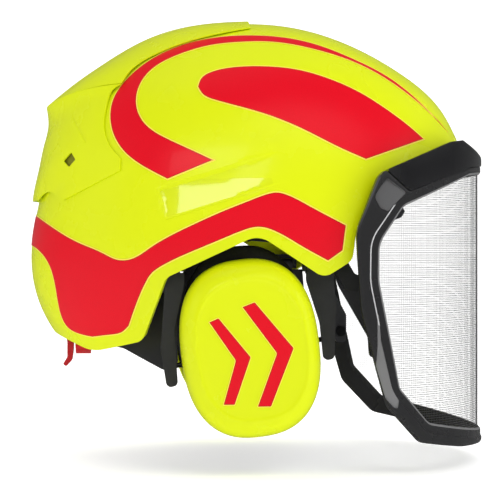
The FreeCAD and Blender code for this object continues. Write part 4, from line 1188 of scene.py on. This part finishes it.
def webbing(name, node, start, top, end, along_x):
    """A woven strap along an arc through three points, ribbed along its length."""
    p, q, r = (np.array(v, float) for v in (start, top, end))
    system = np.array([q - p, r - p]) * 2
    middle = np.linalg.solve(system, [q @ q - p @ p, r @ r - p @ p])
    radius = np.hypot(*(p - middle))
    first, crown_turn, last = (math.atan2(*(v - middle)[::-1]) for v in (p, q, r))
    if not min(first, last) < crown_turn < max(first, last):
        last += math.copysign(math.tau, first - last)
    length = radius * abs(last - first)
    rings = int(length / 0.55)
    across = np.linspace(-1, 1, 41)
    ribs = RIB_HEIGHT * np.abs(np.sin(across * math.pi * 5)) - 0.35 * np.abs(across) ** 12
    section = [(w * STRAP_HALF, STRAP_WALL / 2 + h - 0.15) for w, h in zip(across, ribs)]
    section += [(w, -h) for w, h in section[::-1]]
    verts = []
    for k in range(rings + 1):
        angle = first + (last - first) * k / rings
        way = np.array([math.cos(angle), math.sin(angle)])
        weave = WEAVE_HEIGHT * math.sin(k * math.pi * 0.5)
        for w, h in section:
            spread = radius - STRAP_WALL / 2 + h + weave * math.copysign(1, h) * math.cos(w * 2.6)
            spot = middle + way * spread
            verts.append((spot[0], w, spot[1]) if along_x else (w, spot[0], spot[1]))
    faces = tube_faces(rings + 1, len(section)) + end_faces(rings + 1, len(section))
    obj = mesh_object(name, np.array(verts) * MM, faces, WEBBING, "helmet")
    weld(obj)
    obj.data.set_sharp_from_angle(angle=math.radians(50))
    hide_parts(node)


webbing("long_webbing", "crown_strap_long", (96.6, 73), (0, 131), (-94.5, -2), True)
webbing("cross_webbing", "crown_strap_cross", (77, 66), (0, 128.3), (-77, 66), False)

# ---------------------------------------------------------------- floor, light, camera

FLOOR = -0.112
FLOOR_HALF = 5
CURVE_START, CURVE_RADIUS = 0.9, 0.5


def backdrop():
    """A white paper sweep; it counts for less in what glossy surfaces mirror."""
    turns = np.linspace(0, math.pi / 2, 12)
    rows = [(-FLOOR_HALF, FLOOR)]
    rows += [
        (CURVE_START + CURVE_RADIUS * math.sin(a), FLOOR + CURVE_RADIUS * (1 - math.cos(a))) for a in turns]
    rows.append((CURVE_START + CURVE_RADIUS, 2.6))
    verts = [(x, y, z) for y, z in rows for x in (-FLOOR_HALF, FLOOR_HALF)]
    faces = [(i, i + 1, i + 3, i + 2) for i in range(0, 2 * len(rows) - 2, 2)]
    mesh = bpy.data.meshes.new("backdrop")
    mesh.from_pydata(verts, [], faces)
    mesh.shade_smooth()
    mat, tree, shader = graph("paper_white")
    path = add(tree, "ShaderNodeLightPath")
    set_inputs(shader, {"Roughness": 0.9, "Emission Color": (1, 1, 1, 1)})
    for socket, seen, mirrored in (("Base Color", 0.93, 0.12), ("Emission Strength", 0.45, 0.03)):
        tree.links.new(between(tree, path.outputs["Is Glossy Ray"], seen, mirrored), shader.inputs[socket])
    mesh.materials.append(mat)
    new_object("backdrop", mesh)


def softbox(name, place, aim, size_x, size_y, power, mirrored=False):
    """A lamp that is either felt but not mirrored, or mirrored but not felt."""
    lamp = bpy.data.lights.new(name, "AREA")
    lamp.shape = "RECTANGLE"
    lamp.size, lamp.size_y = size_x, size_y
    lamp.energy = power
    obj = new_object(name, lamp)
    obj.location = place
    obj.rotation_euler = (Vector(aim) - Vector(place)).to_track_quat("-Z", "Y").to_euler()
    obj.visible_glossy = mirrored
    obj.visible_diffuse = not mirrored


backdrop()
softbox("key", (0.45, -1.1, 1.0), (0, 0, 0.03), 0.9, 0.6, 6.2)
softbox("top", (-0.1, 0.1, 1.3), (0, 0, 0.03), 1.4, 1.0, 5.6)
softbox("left", (-1.3, -0.35, 0.25), (0, 0, 0.03), 0.9, 1.2, 3)
softbox("front", (1.3, -0.5, 0.3), (0, 0, 0.0), 0.5, 1.0, 4.5)
softbox("glint", (-0.297, -1.18, 0.534), (-0.03, -0.107, 0.065), 0.6, 0.22, 1.0, True)

ROOM_BANDS = ((0.0, 0.06), (0.55, 0.07), (0.66, 0.22), (0.8, 0.2), (0.92, 0.08), (1.0, 0.06))


def studio_world():
    """Even light, white beyond the floor; glossy surfaces mirror a dim room with one bright band."""
    world = bpy.data.worlds.new("studio")
    bpy.context.scene.world = world
    world.use_nodes = True
    tree = world.node_tree
    link = tree.links.new
    split = add(tree, "ShaderNodeSeparateXYZ")
    link(add(tree, "ShaderNodeTexCoord").outputs["Generated"], split.inputs["Vector"])
    height = add(tree, "ShaderNodeMapRange")
    set_inputs(height, {"From Min": -1})
    link(split.outputs["Z"], height.inputs["Value"])
    band = add(tree, "ShaderNodeValToRGB")
    link(height.outputs["Result"], band.inputs["Fac"])
    for position, _ in ROOM_BANDS[1:-1]:
        band.color_ramp.elements.new(position)
    for element, (position, level) in zip(band.color_ramp.elements, ROOM_BANDS):
        element.position = position
        element.color = (level, level, level, 1)
    path = add(tree, "ShaderNodeLightPath")
    lit = add(tree, "ShaderNodeMix", A=0.42)
    link(path.outputs["Is Glossy Ray"], lit.inputs["Factor"])
    link(band.outputs["Color"], lit.inputs["B"])
    seen = add(tree, "ShaderNodeMix", B=1.0)
    link(path.outputs["Is Camera Ray"], seen.inputs["Factor"])
    link(lit.outputs["Result"], seen.inputs["A"])
    ground = tree.nodes["Background"]
    set_inputs(ground, {"Color": (1, 1, 1, 1)})
    link(seen.outputs["Result"], ground.inputs["Strength"])


studio_world()

CAMERA_AWAY = 1.13
CAMERA_HEIGHT = 0.0268
azimuth = math.radians(-4)
lens = bpy.data.cameras.new("camera")
lens.sensor_width = 36
lens.lens = 121.4
camera = new_object("camera", lens)
camera.location = (CAMERA_AWAY * math.sin(azimuth), -CAMERA_AWAY * math.cos(azimuth), CAMERA_HEIGHT)
camera.rotation_euler = (math.radians(90), 0, azimuth)
bpy.context.scene.camera = camera
bpy.context.scene.view_settings.view_transform = "Standard"
